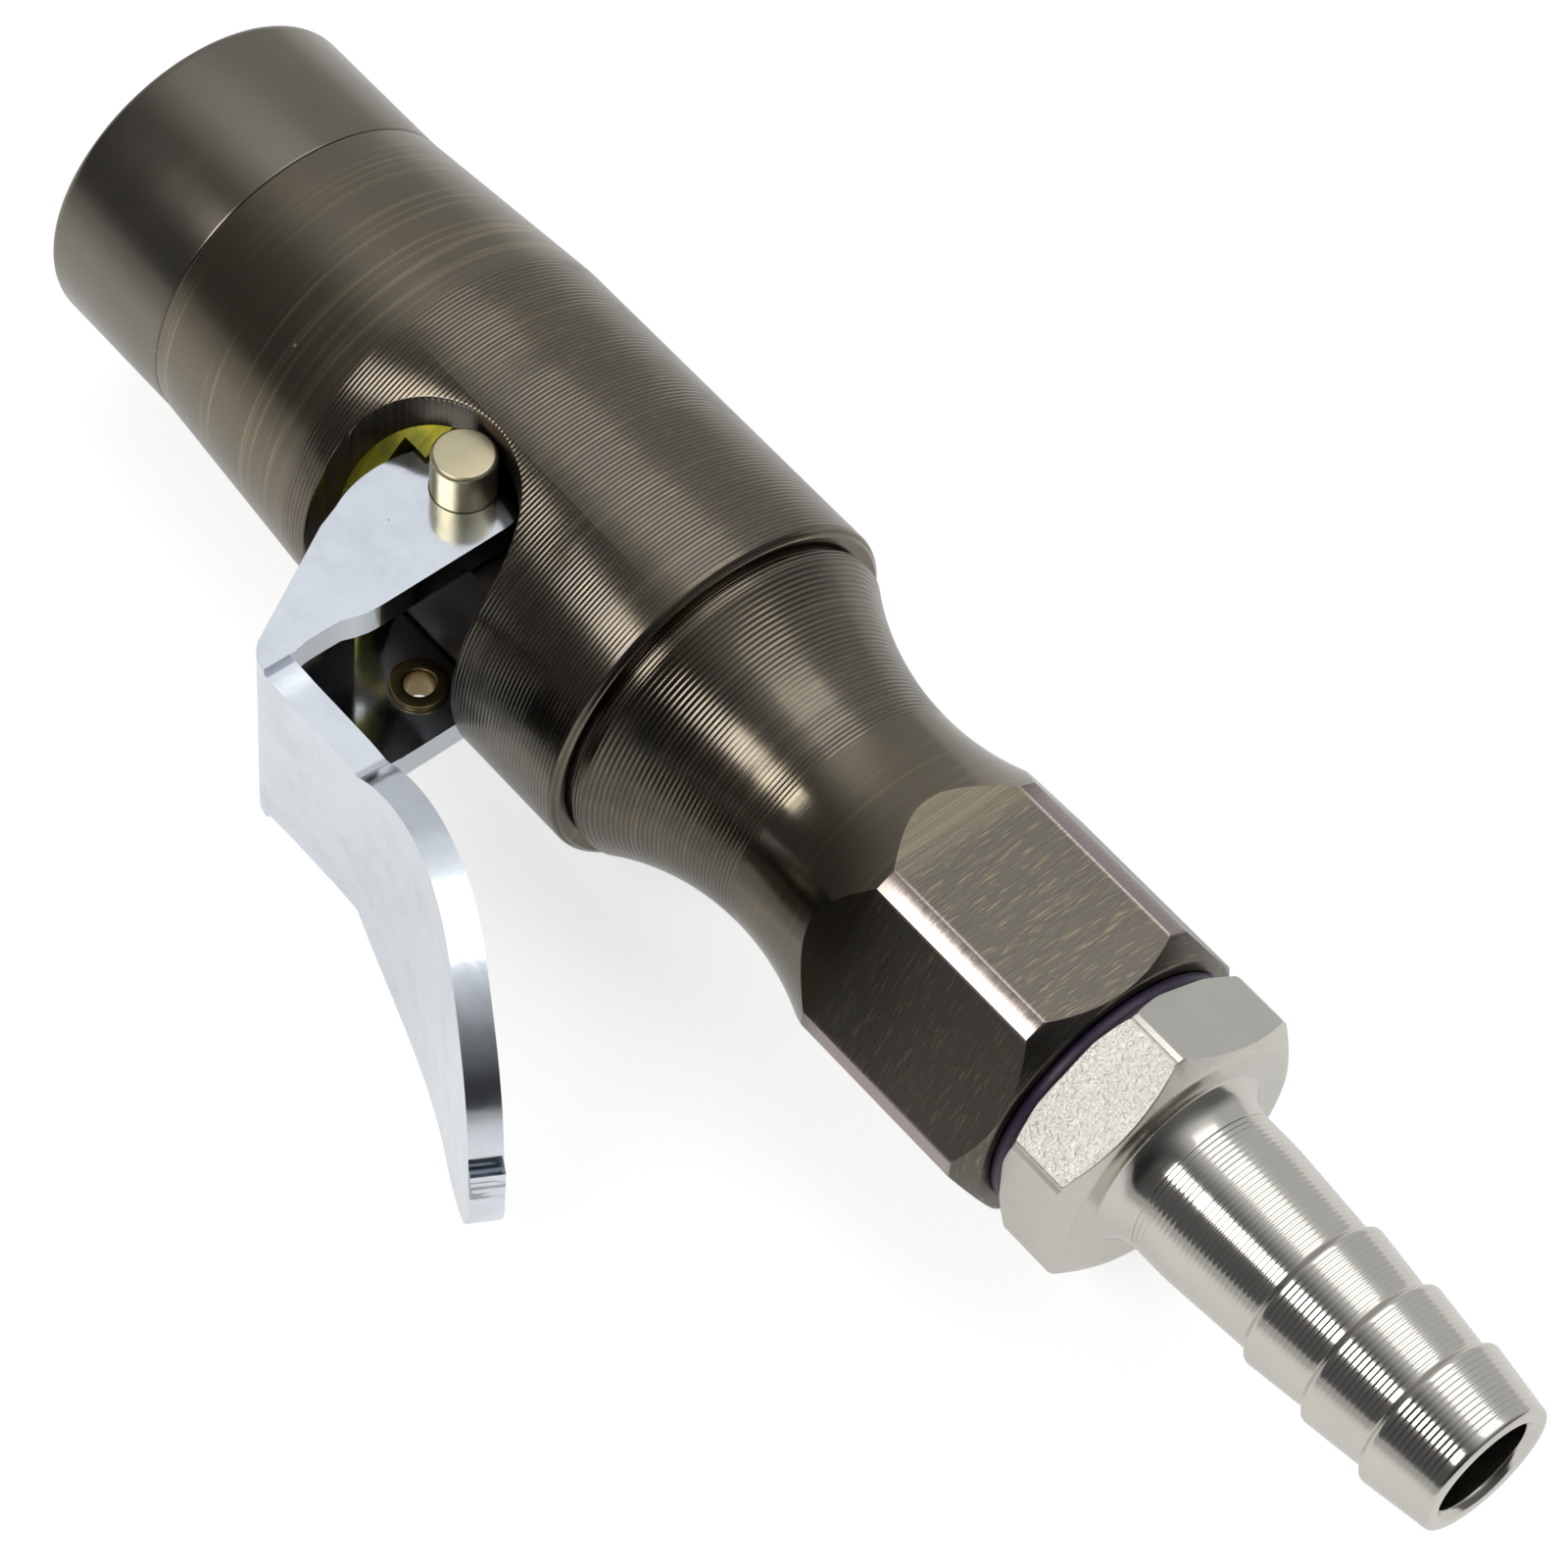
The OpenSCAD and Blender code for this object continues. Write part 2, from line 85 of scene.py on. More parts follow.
class NozzleSizes(bpy.types.PropertyGroup):
    """Sizes of the modelled pieces; the frame gives most of the defaults."""

    body_r: length("Body radius", "Radius of the gripped part of the body", BODY_HIGH.z)
    cap_r: length("Cap radius", "Radius of the front cap", CAP_HIGH.z)
    taper: length("Taper", "Length of the tapered part behind the seam", 14.1 * MM)
    grip: length("Grip", "Length of the full-diameter part of the body", 25.6 * MM)
    wall: length("Wall", "Wall of the body around its main bore", 2.3 * MM)
    neck_r: length("Neck radius", "Radius at the waist of the neck", 8.45 * MM)
    cove_r: length("Cove radius", "Radius of the neck's hollow curve along the body", 18.7 * MM)
    body_flats: length("Body flats", "Width across the flats of the body's hexagon", 19 * MM)
    nut_flats: length("Nut flats", "Width across the flats of the barb fitting", 17 * MM)
    nut_turn: FloatProperty(
        name="Nut turn", description="Turn of the barb fitting about the body's axis",
        default=math.radians(-26.5), subtype="ANGLE")
    barb_r: length("Barb radius", "Radius over the barbs", 5.18 * MM)
    barb_pitch: length("Barb pitch", "Distance from one barb to the next", 4.6 * MM)
    barb_bore: length("Barb bore", "Radius of the fitting's bore", 3.25 * MM)
    ridge_pitch: length("Ridge pitch", "Feed of the turning tool on the barb fitting", 0.33 * MM)
    ridge_depth: length("Ridge depth", "Depth of the turned ridges on the barb fitting", 0.042 * MM)
    sheet: length("Sheet", "Thickness of the lever's sheet steel", 2 * MM)
    ear_out: length("Ear outside", "Distance from the middle plane to an ear's outer face", 7.45 * MM)
    ear_head: length("Ear head", "Distance from the pin to the ear's back edge", 3.9 * MM)
    ear_corner: length("Ear corner", "Radius of the ear's back corner beside the pin", 2.5 * MM)
    stem_w: length("Stem", "Half width of the lever's stem", 6.8 * MM)
    pad_r: length("Pad", "Radius of the round thumb pad", 12.3 * MM)
    pad_near: length("Pad near side", "Half width of the pad's side that leans in", 9.4 * MM)
    sweep_r: length("Sweep radius", "Radius to which the lever curves away from the body", 32 * MM)
    sweep: FloatProperty(
        name="Sweep", description="Angle through which the lever curves away",
        default=math.radians(30), subtype="ANGLE")
    pin_r: length("Pin radius", "Radius of the cross pin", 2 * MM)
    round_steps: IntProperty(
        name="Round steps", description="Faces around a turned piece", default=192, min=48)


class NozzleColours(bpy.types.PropertyGroup):
    """Colours of the finishes."""

    body: paint("Body", "Dark nickel plate on the turned body", (0.19, 0.172, 0.145))
    cap: paint("Cap", "Dark nickel plate on the front cap", (0.215, 0.195, 0.16))
    chrome: paint("Chrome", "Bright chrome of the lever", (0.8, 0.85, 0.9))
    pin: paint("Pin", "Pale yellow passivation of the cross pin", (0.6, 0.54, 0.36))
    sleeve: paint("Sleeve", "Yellow chromate of the push sleeve", (0.44, 0.39, 0.03))
    nickel: paint("Nickel", "Nickel plate of the barb fitting", (0.66, 0.64, 0.58))
    core: paint("Core", "Phosphated steel of the core block", (0.04, 0.034, 0.028))
    brass: paint("Brass", "Machined brass of the valve parts", (0.7, 0.53, 0.25))
    spring: paint("Spring", "Drawn spring wire", (0.6, 0.61, 0.62))
    jaw: paint("Jaw", "Ground and hardened steel of the jaws", (0.42, 0.43, 0.44))
    rubber: paint("Rubber", "Nitrile rubber of the seals", (0.018, 0.018, 0.019))
    gasket: paint("Gasket", "Dark violet of the fibre gasket", (0.03, 0.02, 0.045))
    floor: paint("Floor", "Pale studio floor", (0.6, 0.6, 0.6))


# ---------------------------------------------------------------- shader expressions


class Sock:
    """Wraps a number socket, so that Python maths on it adds Math nodes."""

    def __init__(self, tree, socket):
        self.tree = tree
        self.socket = socket

    def maths(self, operation, *values):
        node = self.tree.nodes.new("ShaderNodeMath")
        node.operation = operation
        for slot, value in zip(node.inputs, values):
            if isinstance(value, Sock):
                self.tree.links.new(value.socket, slot)
            else:
                slot.default_value = value
        return Sock(self.tree, node.outputs[0])

    def __add__(self, other):
        return self.maths("ADD", self, other)

    def __radd__(self, other):
        return self.maths("ADD", other, self)

    def __sub__(self, other):
        return self.maths("SUBTRACT", self, other)

    def __rsub__(self, other):
        return self.maths("SUBTRACT", other, self)

    def __mul__(self, other):
        return self.maths("MULTIPLY", self, other)

    def __rmul__(self, other):
        return self.maths("MULTIPLY", other, self)

    def sine(self):
        return self.maths("SINE", self)

    def larger(self, other):
        return self.maths("MAXIMUM", self, other)

    def hypot(self, other):
        """The distance whose two legs are this value and another."""
        return self.maths("SQRT", self * self + other * other)

    def above(self, start, end):
        """0 below start, 1 above end and a smooth step between."""
        node = self.tree.nodes.new("ShaderNodeMapRange")
        node.interpolation_type = "SMOOTHSTEP"
        self.tree.links.new(self.socket, node.inputs["Value"])
        node.inputs["From Min"].default_value = start
        node.inputs["From Max"].default_value = end
        return Sock(self.tree, node.outputs["Result"])

    def between(self, start, end, soft):
        """1 between two values, with soft edges."""
        return self.above(start - soft, start + soft) * (1 - self.above(end - soft, end + soft))


class Finish:
    """A material under construction: its tree, its Principled shader and its object coordinates."""

    def __init__(self, name, metallic=0.0, roughness=0.5, coat=0.0):
        self.material = bpy.data.materials.new(name)
        self.material.use_nodes = True
        self.tree = self.material.node_tree
        self.shader = self.tree.nodes["Principled BSDF"]
        self.shader.inputs["Metallic"].default_value = metallic
        self.shader.inputs["Roughness"].default_value = roughness
        self.shader.inputs["Coat Weight"].default_value = coat
        self.shader.inputs["Coat Roughness"].default_value = 0.1
        self.shader.inputs["IOR"].default_value = IOR
        self.place = self.node("ShaderNodeTexCoord").outputs["Object"]

    def node(self, kind, settings=None, **sockets):
        """Adds a node: its type, its settings first, then the values or links of its sockets. A socket is
        called by its name, or as i0, i1 and so on by its place."""
        node = self.tree.nodes.new(kind)
        for key, value in (settings or {}).items():
            setattr(node, key, value)
        for key, value in sockets.items():
            by_place = key[0] == "i" and key[1:].isdigit()
            slot = int(key[1:]) if by_place else key.replace("_", " ")
            self.feed(node.inputs[slot], value)
        return node

    def feed(self, slot, value):
        if isinstance(value, Sock):
            value = value.socket
        if isinstance(value, bpy.types.NodeSocket):
            self.tree.links.new(value, slot)
        else:
            slot.default_value = value

    def axes(self):
        """The place along X, Y and Z in millimetres."""
        scaled = self.node("ShaderNodeVectorMath", {"operation": "SCALE"}, i0=self.place, Scale=1 / MM)
        parts = self.node("ShaderNodeSeparateXYZ", None, i0=scaled.outputs[0])
        return [Sock(self.tree, parts.outputs[i]) for i in range(3)]

    def stretched(self, x, y, z):
        """Object coordinates times a factor for each axis, for streaks that follow the turning."""
        mapped = self.node(
            "ShaderNodeMapping", {"vector_type": "POINT"}, Vector=self.place, Scale=(x, y, z))
        return mapped.outputs[0]

    def noise(self, where, scale, detail=2.0, rough=0.5):
        node = self.node(
            "ShaderNodeTexNoise", {"noise_dimensions": "3D"},
            Vector=where, Scale=scale, Detail=detail, Roughness=rough)
        return Sock(self.tree, node.outputs[0])

    def specks(self, where, scale, size):
        """Small round specks: 1 inside a speck, 0 outside."""
        node = self.node(
            "ShaderNodeTexVoronoi", {"feature": "F1"}, Vector=where, Scale=scale, Randomness=1.0)
        return 1 - Sock(self.tree, node.outputs["Distance"]).above(size * 0.6, size)

    def mix(self, factor, a, b):
        """Colour a where the factor is 0 and b where it is 1."""
        node = self.node("ShaderNodeMix", {"data_type": "RGBA"})
        self.feed(node.inputs[0], factor)
        for slot, value in ((node.inputs[6], a), (node.inputs[7], b)):
            self.feed(slot, tuple(value) + (1,) if not isinstance(value, bpy.types.NodeSocket) else value)
        return node.outputs[2]

    def bump(self, height, distance):
        """Relief for the Normal socket: a height of 1 stands this far proud."""
        return self.node("ShaderNodeBump", None, Strength=1.0, Distance=distance, Height=height).outputs[0]

    def set(self, **sockets):
        for key, value in sockets.items():
            self.feed(self.shader.inputs[key.replace("_", " ")], value)
        return self.material


def shade(colour, factor):
    """A colour made darker or lighter by a factor."""
    return tuple(min(1.0, c * factor) for c in colour)


# ---------------------------------------------------------------- finishes


def body_metal(colours, seam, grip, neck, hexagon, skin, corner_r):
    """Dark nickel on a turned body: satin taper, fine ridges on the grip, polished neck, milled flats."""
    f = Finish("body_metal", metallic=1.0, roughness=0.22)
    x, y, z = f.axes()
    ridged = x.between(grip, neck, 0.4)
    pitch = 0.29
    ridges = (x * (2 * math.pi / pitch)).sine()
    lines = f.noise(f.stretched(2600, 45, 45), 1.0, 3)
    worn = f.noise(f.stretched(300, 110, 110), 1.0, 3)
    blotch = f.noise(f.place, 160, 3)
    tapered = x.between(seam, grip, 0.2)
    flats = x.above(hexagon - 1, hexagon + 2)
    milled = f.noise(f.stretched(8500, 700, 700), 1.0, 2)
    painted_glints = milled.above(0.54, 0.74)
    height = ridged * ridges * worn.above(0.2, 0.7) + 0.5 * lines * (1 - ridged) + flats * milled * 0.9
    warm = f.mix(blotch, shade(colours.body, 0.85), (0.22, 0.185, 0.125))
    streak = f.mix(lines.above(0.52, 0.74) * (0.3 + 0.3 * tapered), warm, (0.36, 0.315, 0.19))
    # painted shade: the hexagon's flats get a darker base, 0.72 of the body's colour
    shaded_flat_tone = f.mix(flats, streak, shade(colours.body, 0.72))
    # painted highlight: short golden dashes on the flats and on the grip's ridges stand in for glints
    glint_painted_tone = f.mix((flats * 0.42 + ridged * 0.3) * painted_glints, shaded_flat_tone, (0.42, 0.35, 0.19))
    # painted shade: the grooves between the grip's ridges are darkened
    valley_shaded_tone = f.mix(ridged * (0.5 - 0.5 * ridges) * 0.5, glint_painted_tone, (0.05, 0.045, 0.055))
    corner = flats * y.hypot(z).above(corner_r - 0.1, corner_r - 0.02)
    window = 20
    cut = x.between(grip, grip + window, 0.5) * (1 - y.hypot(z).above(skin - 0.3, skin - 0.12))
    # painted shade: the window's cut walls get a near black base
    wall_shaded_tone = f.mix(cut * 0.75, valley_shaded_tone, (0.05, 0.042, 0.034))
    dust = f.specks(f.place, 260, 0.035)
    # painted highlight: the round corners between the hexagon's flats get a lighter pink base
    corner_highlit_tone = f.mix(corner, wall_shaded_tone, (0.4, 0.34, 0.32))
    base = f.mix(dust * 0.3, corner_highlit_tone, (0.4, 0.4, 0.36))
    flat_rough = 0.12 * flats * (1 - corner)
    rough = 0.12 + 0.08 * lines + 0.05 * ridged + 0.08 * tapered + flat_rough + 0.25 * dust + 0.2 * cut
    return f.set(Base_Color=base, Roughness=rough, Normal=f.bump(height * (1 - cut), 0.014 * MM))


def cap_metal(colours):
    """Smooth dark nickel of the front cap, with a few specks and hair scratches."""
    f = Finish("cap_metal", metallic=1.0, roughness=0.24)
    fine = f.noise(f.stretched(500, 50, 50), 1.0, 3)
    cloud = f.noise(f.place, 120, 3)
    dust = f.specks(f.place, 330, 0.035)
    tone = f.mix(cloud, shade(colours.cap, 0.9), shade(colours.cap, 1.1))
    base = f.mix(dust * 0.6, tone, (0.5, 0.47, 0.38))
    rough = 0.2 + 0.08 * fine + 0.2 * dust
    return f.set(Base_Color=base, Roughness=rough, Normal=f.bump(fine + 0.3 * cloud, 0.006 * MM))


def lever_chrome(colours):
    """Bright chrome over tumbled sheet: gentle waviness, hazy grey rubs and small dark pits."""
    f = Finish("lever_chrome", metallic=1.0, roughness=0.1)
    wave = f.noise(f.place, 180, 2)
    orange = f.noise(f.place, 900, 2)
    haze = f.noise(f.place, 330, 4, 0.65)
    rub = f.noise(f.stretched(300, 90, 90), 1.0, 4, 0.6).above(0.45, 0.8)
    pits = f.specks(f.place, 420, 0.035)
    hazed = f.mix(haze.above(0.4, 0.75) * 0.5, colours.chrome, shade(colours.chrome, 0.8))
    base = f.mix(pits * 0.7, hazed, (0.2, 0.21, 0.23))
    rough = 0.07 + 0.1 * rub + 0.1 * haze + 0.3 * pits
    return f.set(Base_Color=base, Roughness=rough, Normal=f.bump(wave * 6 + orange * 0.6, 0.012 * MM))


def pin_brass(colours):
    """Pale yellow passivated steel, satin, with faint turning."""
    f = Finish("pin_brass", metallic=1.0, roughness=0.32, coat=0.1)
    cloud = f.noise(f.place, 700, 3)
    rings = f.noise(f.stretched(120, 120, 3200), 1.0, 2)
    base = f.mix(cloud, shade(colours.pin, 0.85), shade(colours.pin, 1.15))
    rough = 0.3 + 0.15 * cloud
    return f.set(Base_Color=base, Roughness=rough, Normal=f.bump(rings + 0.5 * cloud, 0.006 * MM))


def sleeve_zinc(colours):
    """Yellow chromate on zinc with a greenish play of colour."""
    f = Finish("sleeve_zinc", metallic=0.85, roughness=0.35)
    cloud = f.noise(f.place, 400, 3)
    rings = f.noise(f.stretched(2400, 40, 40), 1.0, 2)
    base = f.mix(cloud.above(0.35, 0.65), colours.sleeve, (0.2, 0.21, 0.03))
    return f.set(Base_Color=base, Roughness=0.28 + 0.2 * rings, Normal=f.bump(rings, 0.01 * MM))


def nickel_plate(colours, flats_from, flats_to, flat_turn, flat_reach):
    """Nickel over turned brass: fine turning, satin flats and one flat with a cast, grainy skin."""
    f = Finish("barb_nickel", metallic=1.0, roughness=0.2)
    x, y, z = f.axes()
    on_nut = x.between(flats_from, flats_to, 0.1)
    reach = z * math.cos(flat_turn) - y * math.sin(flat_turn)
    cast = on_nut * reach.above(flat_reach - 0.12, flat_reach - 0.04)
    grain = f.noise(f.place, 2600, 3, 0.65)
    broad = f.noise(f.place, 240, 2)
    fine = f.noise(f.stretched(2200, 70, 70), 1.0, 3)
    height = cast * grain * 9 + on_nut * (grain * 0.8 + broad) + (1 - on_nut) * fine * 0.8
    base = f.mix(broad, shade(colours.nickel, 0.92), shade(colours.nickel, 1.08))
    rough = 0.1 + 0.08 * fine + on_nut * (0.1 + 0.12 * grain) + 0.14 * cast
    return f.set(Base_Color=base, Roughness=rough, Normal=f.bump(height, 0.01 * MM))


def plain_metal(name, colour, roughness):
    """A machined metal with faint turning along X and a little cloudiness."""
    f = Finish(name, metallic=1.0, roughness=roughness)
    cloud = f.noise(f.place, 500, 3)
    rings = f.noise(f.stretched(2000, 60, 60), 1.0, 2)
    base = f.mix(cloud, shade(colour, 0.85), shade(colour, 1.12))
    rough = roughness - 0.06 + 0.16 * rings
    return f.set(Base_Color=base, Roughness=rough, Normal=f.bump(rings + 0.4 * cloud, 0.006 * MM))


def soft_seal(name, colour, roughness):
    """Rubber or fibre: matt, with a fine grain."""
    f = Finish(name, roughness=roughness)
    grain = f.noise(f.place, 2200, 4, 0.6)
    base = f.mix(grain, shade(colour, 0.7), shade(colour, 1.5))
    rough = roughness - 0.08 + 0.16 * grain
    return f.set(Base_Color=base, Roughness=rough, Normal=f.bump(grain, 0.02 * MM))


def floor_paint(colours):
    """Pale self-lit studio floor. The camera sees it evenly lit; in reflections and as a light it is dimmer
    and fades towards -Y."""
    f = Finish("floor_paint", roughness=0.9)
    y = f.axes()[1]
    faint = f.noise(f.place, 8, 2)
    base = f.mix(faint, shade(colours.floor, 0.98), colours.floor)
    path = f.node("ShaderNodeLightPath")
    near = y.above(-85, -28)
    seen = Sock(f.tree, path.outputs["Is Camera Ray"])
    glow = f.mix((near * 0.6).larger(seen), (0, 0, 0), (1, 1, 1))
    f.shader.inputs["Emission Strength"].default_value = 0.72
    f.shader.inputs["Specular IOR Level"].default_value = 0.1
    return f.set(Base_Color=base, Emission_Color=glow)


# ---------------------------------------------------------------- modelling helpers


def rounded(corners, steps=4):
    """An outline with its corners rounded. A corner is (along, out, radius)."""
    points = []
    count = len(corners)
    for i, (x, r, fillet) in enumerate(corners):
        here = Vector((x, r))
        if fillet <= 0 or i in (0, count - 1):
            points.append(here)
            continue
        before = Vector(corners[i - 1][:2])
        after = Vector(corners[(i + 1) % count][:2])
        back = min(fillet, 0.45 * (before - here).length)
        ahead = min(fillet, 0.45 * (after - here).length)
        start = here + (before - here).normalized() * back
        end = here + (after - here).normalized() * ahead
        for k in range(steps + 1):
            t = k / steps
            points.append(start * (1 - t) ** 2 + here * (2 * t * (1 - t)) + end * t ** 2)
    return points


def ridged(x0, r0, x1, r1, pitch, depth):
    """A straight stretch of a turned outline with the round ridges that the tool leaves."""
    steps = 4
    count = max(2, round(abs(x1 - x0) / pitch)) * steps
    points = []
    for i in range(1, count):
        t = i / count
        groove = depth * (0.5 - 0.5 * math.cos(2 * math.pi * i / steps))
        points.append(Vector((x0 + (x1 - x0) * t, r0 + (r1 - r0) * t - groove)))
    return points


def new_mesh(name):
    mesh = bpy.data.meshes.new(name)
    piece = bpy.data.objects.new(name, mesh)
    bpy.context.scene.collection.objects.link(piece)
    return piece


def draw(bm, points, closed):
    """Draws an outline in a bmesh and returns its vertices and edges."""
    verts = [bm.verts.new(p) for p in points]
    edges = [bm.edges.new(pair) for pair in zip(verts, verts[1:])]
    if closed:
        edges.append(bm.edges.new((verts[-1], verts[0])))
    return verts, edges


def turn(bm, outline, steps, closed=True):
    """Spins an outline of (along, out) points about the X axis."""
    verts, edges = draw(bm, [Vector((p.x, 0, p.y)) for p in outline], closed)
    bmesh.ops.spin(
        bm, geom=verts + edges, cent=(0, 0, 0), axis=(1, 0, 0), dvec=(0, 0, 0), angle=2 * math.pi,
        steps=steps, use_merge=True, use_duplicate=False)
    bmesh.ops.remove_doubles(bm, verts=bm.verts, dist=0.001 * MM)


def cut_flats(bm, across, spin):
    """Cuts six flats about the X axis and closes each with one face."""
    for i in range(6):
        angle = spin + i * math.pi / 3
        out = Vector((0, -math.sin(angle), math.cos(angle)))
        geometry = bm.verts[:] + bm.edges[:] + bm.faces[:]
        cut = bmesh.ops.bisect_plane(
            bm, geom=geometry, dist=0.0001 * MM, plane_co=out * across / 2, plane_no=out,
            clear_outer=True, clear_inner=False)
        rim = [e for e in cut["geom_cut"] if isinstance(e, bmesh.types.BMEdge)]
        bmesh.ops.contextual_create(bm, geom=rim)


def round_edges(bm, edges, offset, segments):
    """Rounds edges with a bevel that stops where it would meet another."""
    bmesh.ops.bevel(
        bm, geom=edges, offset=offset, offset_type="OFFSET", affect="EDGES", segments=segments,
        profile=0.5, clamp_overlap=True, material=-1)


def finish_mesh(piece, bm, material, sharp=35, crisp=False):
    """Cleans, orients and shades a mesh, and gives it its material. A crisp mesh keeps its faces true
    beside small bevels."""
    bmesh.ops.remove_doubles(bm, verts=bm.verts, dist=0.0005 * MM)
    bmesh.ops.dissolve_degenerate(bm, edges=bm.edges, dist=0.0002 * MM)
    bmesh.ops.recalc_face_normals(bm, faces=bm.faces)
    for face in bm.faces:
        face.smooth = len(face.verts) < FLAT_FROM
    for edge in bm.edges:
        edge.smooth = len(edge.link_faces) == 2 and edge.calc_face_angle(0) < math.radians(sharp)
        if crisp and edge.smooth:
            small, large = sorted(face.calc_area() for face in edge.link_faces)
            edge.smooth = large < BEVEL_RATIO * small
    bm.to_mesh(piece.data)
    bm.free()
    piece.data.materials.clear()
    piece.data.materials.append(material)
    return piece


def carve(piece, cutter):
    """Takes one closed mesh out of another with an exact boolean and removes the cutter."""
    modifier = piece.modifiers.new("carve", "BOOLEAN")
    modifier.operation = "DIFFERENCE"
    modifier.solver = "EXACT"
    modifier.object = cutter
    graph = bpy.context.evaluated_depsgraph_get()
    mesh = bpy.data.meshes.new_from_object(piece.evaluated_get(graph))
    piece.modifiers.clear()
    piece.data = mesh
    bpy.data.objects.remove(cutter)


def plate(points, low, high):
    """A closed plate with an outline in X and Y, between two heights."""
    bm = bmesh.new()
    edges = draw(bm, [Vector((p[0], p[1], low)) for p in points], True)[1]
    face = bmesh.ops.contextual_create(bm, geom=edges)["faces"][0]
    grown = bmesh.ops.extrude_face_region(bm, geom=[face])
    raised = [g for g in grown["geom"] if isinstance(g, bmesh.types.BMVert)]
    bmesh.ops.translate(bm, verts=raised, vec=(0, 0, high - low))
    bmesh.ops.recalc_face_normals(bm, faces=bm.faces)
    return bm


def drill(piece, x, y, radius, low, high, steps=64):
    """Drills a round hole along Z."""
    cutter = new_mesh("drill")
    bm = bmesh.new()
    bmesh.ops.create_cone(
        bm, cap_ends=True, segments=steps, radius1=radius, radius2=radius, depth=high - low,
        matrix=Matrix.Translation((x, y, (low + high) / 2)))
    bm.to_mesh(cutter.data)
    bm.free()
    carve(piece, cutter)


def place(piece, body, slot, *nodes):
    """Hangs a finished piece on its body, in place of the CAD nodes it stands for."""
    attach(piece, body)
    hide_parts(*nodes)


def arc(x, y, r, start, end, steps):
    """Points on an arc, angles in degrees."""
    points = []
    for i in range(steps + 1):
        a = math.radians(start + (end - start) * i / steps)
        points.append((x + r * math.cos(a), y + r * math.sin(a)))
    return points


# ---------------------------------------------------------------- pieces


class Stations:
    """Places along the body, worked out from the frame and the sizes."""

    def __init__(self, s):
        self.seam = BODY_LOW.x
        self.grip = self.seam + s.taper
        self.shoulder = self.grip + s.grip
        self.hex_end = BODY_HIGH.x
        hex_length = 14 * MM
        self.hexagon = self.hex_end - hex_length
        waist_to_hexagon = 8.6 * MM
        self.neck = self.hexagon - waist_to_hexagon
        end_wall = 4.6 * MM
        self.bore_end = self.shoulder - end_wall
        seat_to_hexagon = 6.5 * MM
        self.seat = self.hexagon - seat_to_hexagon
        self.bore_r = s.body_r - s.wall
        self.duct_r = 3 * MM
        self.inlet_r = 6.5 * MM


def cove_radius(s, at, x):
    """Radius of the neck's hollow curve at a place along the body."""
    return s.neck_r + s.cove_r - math.sqrt(s.cove_r ** 2 - (x - at.neck) ** 2)


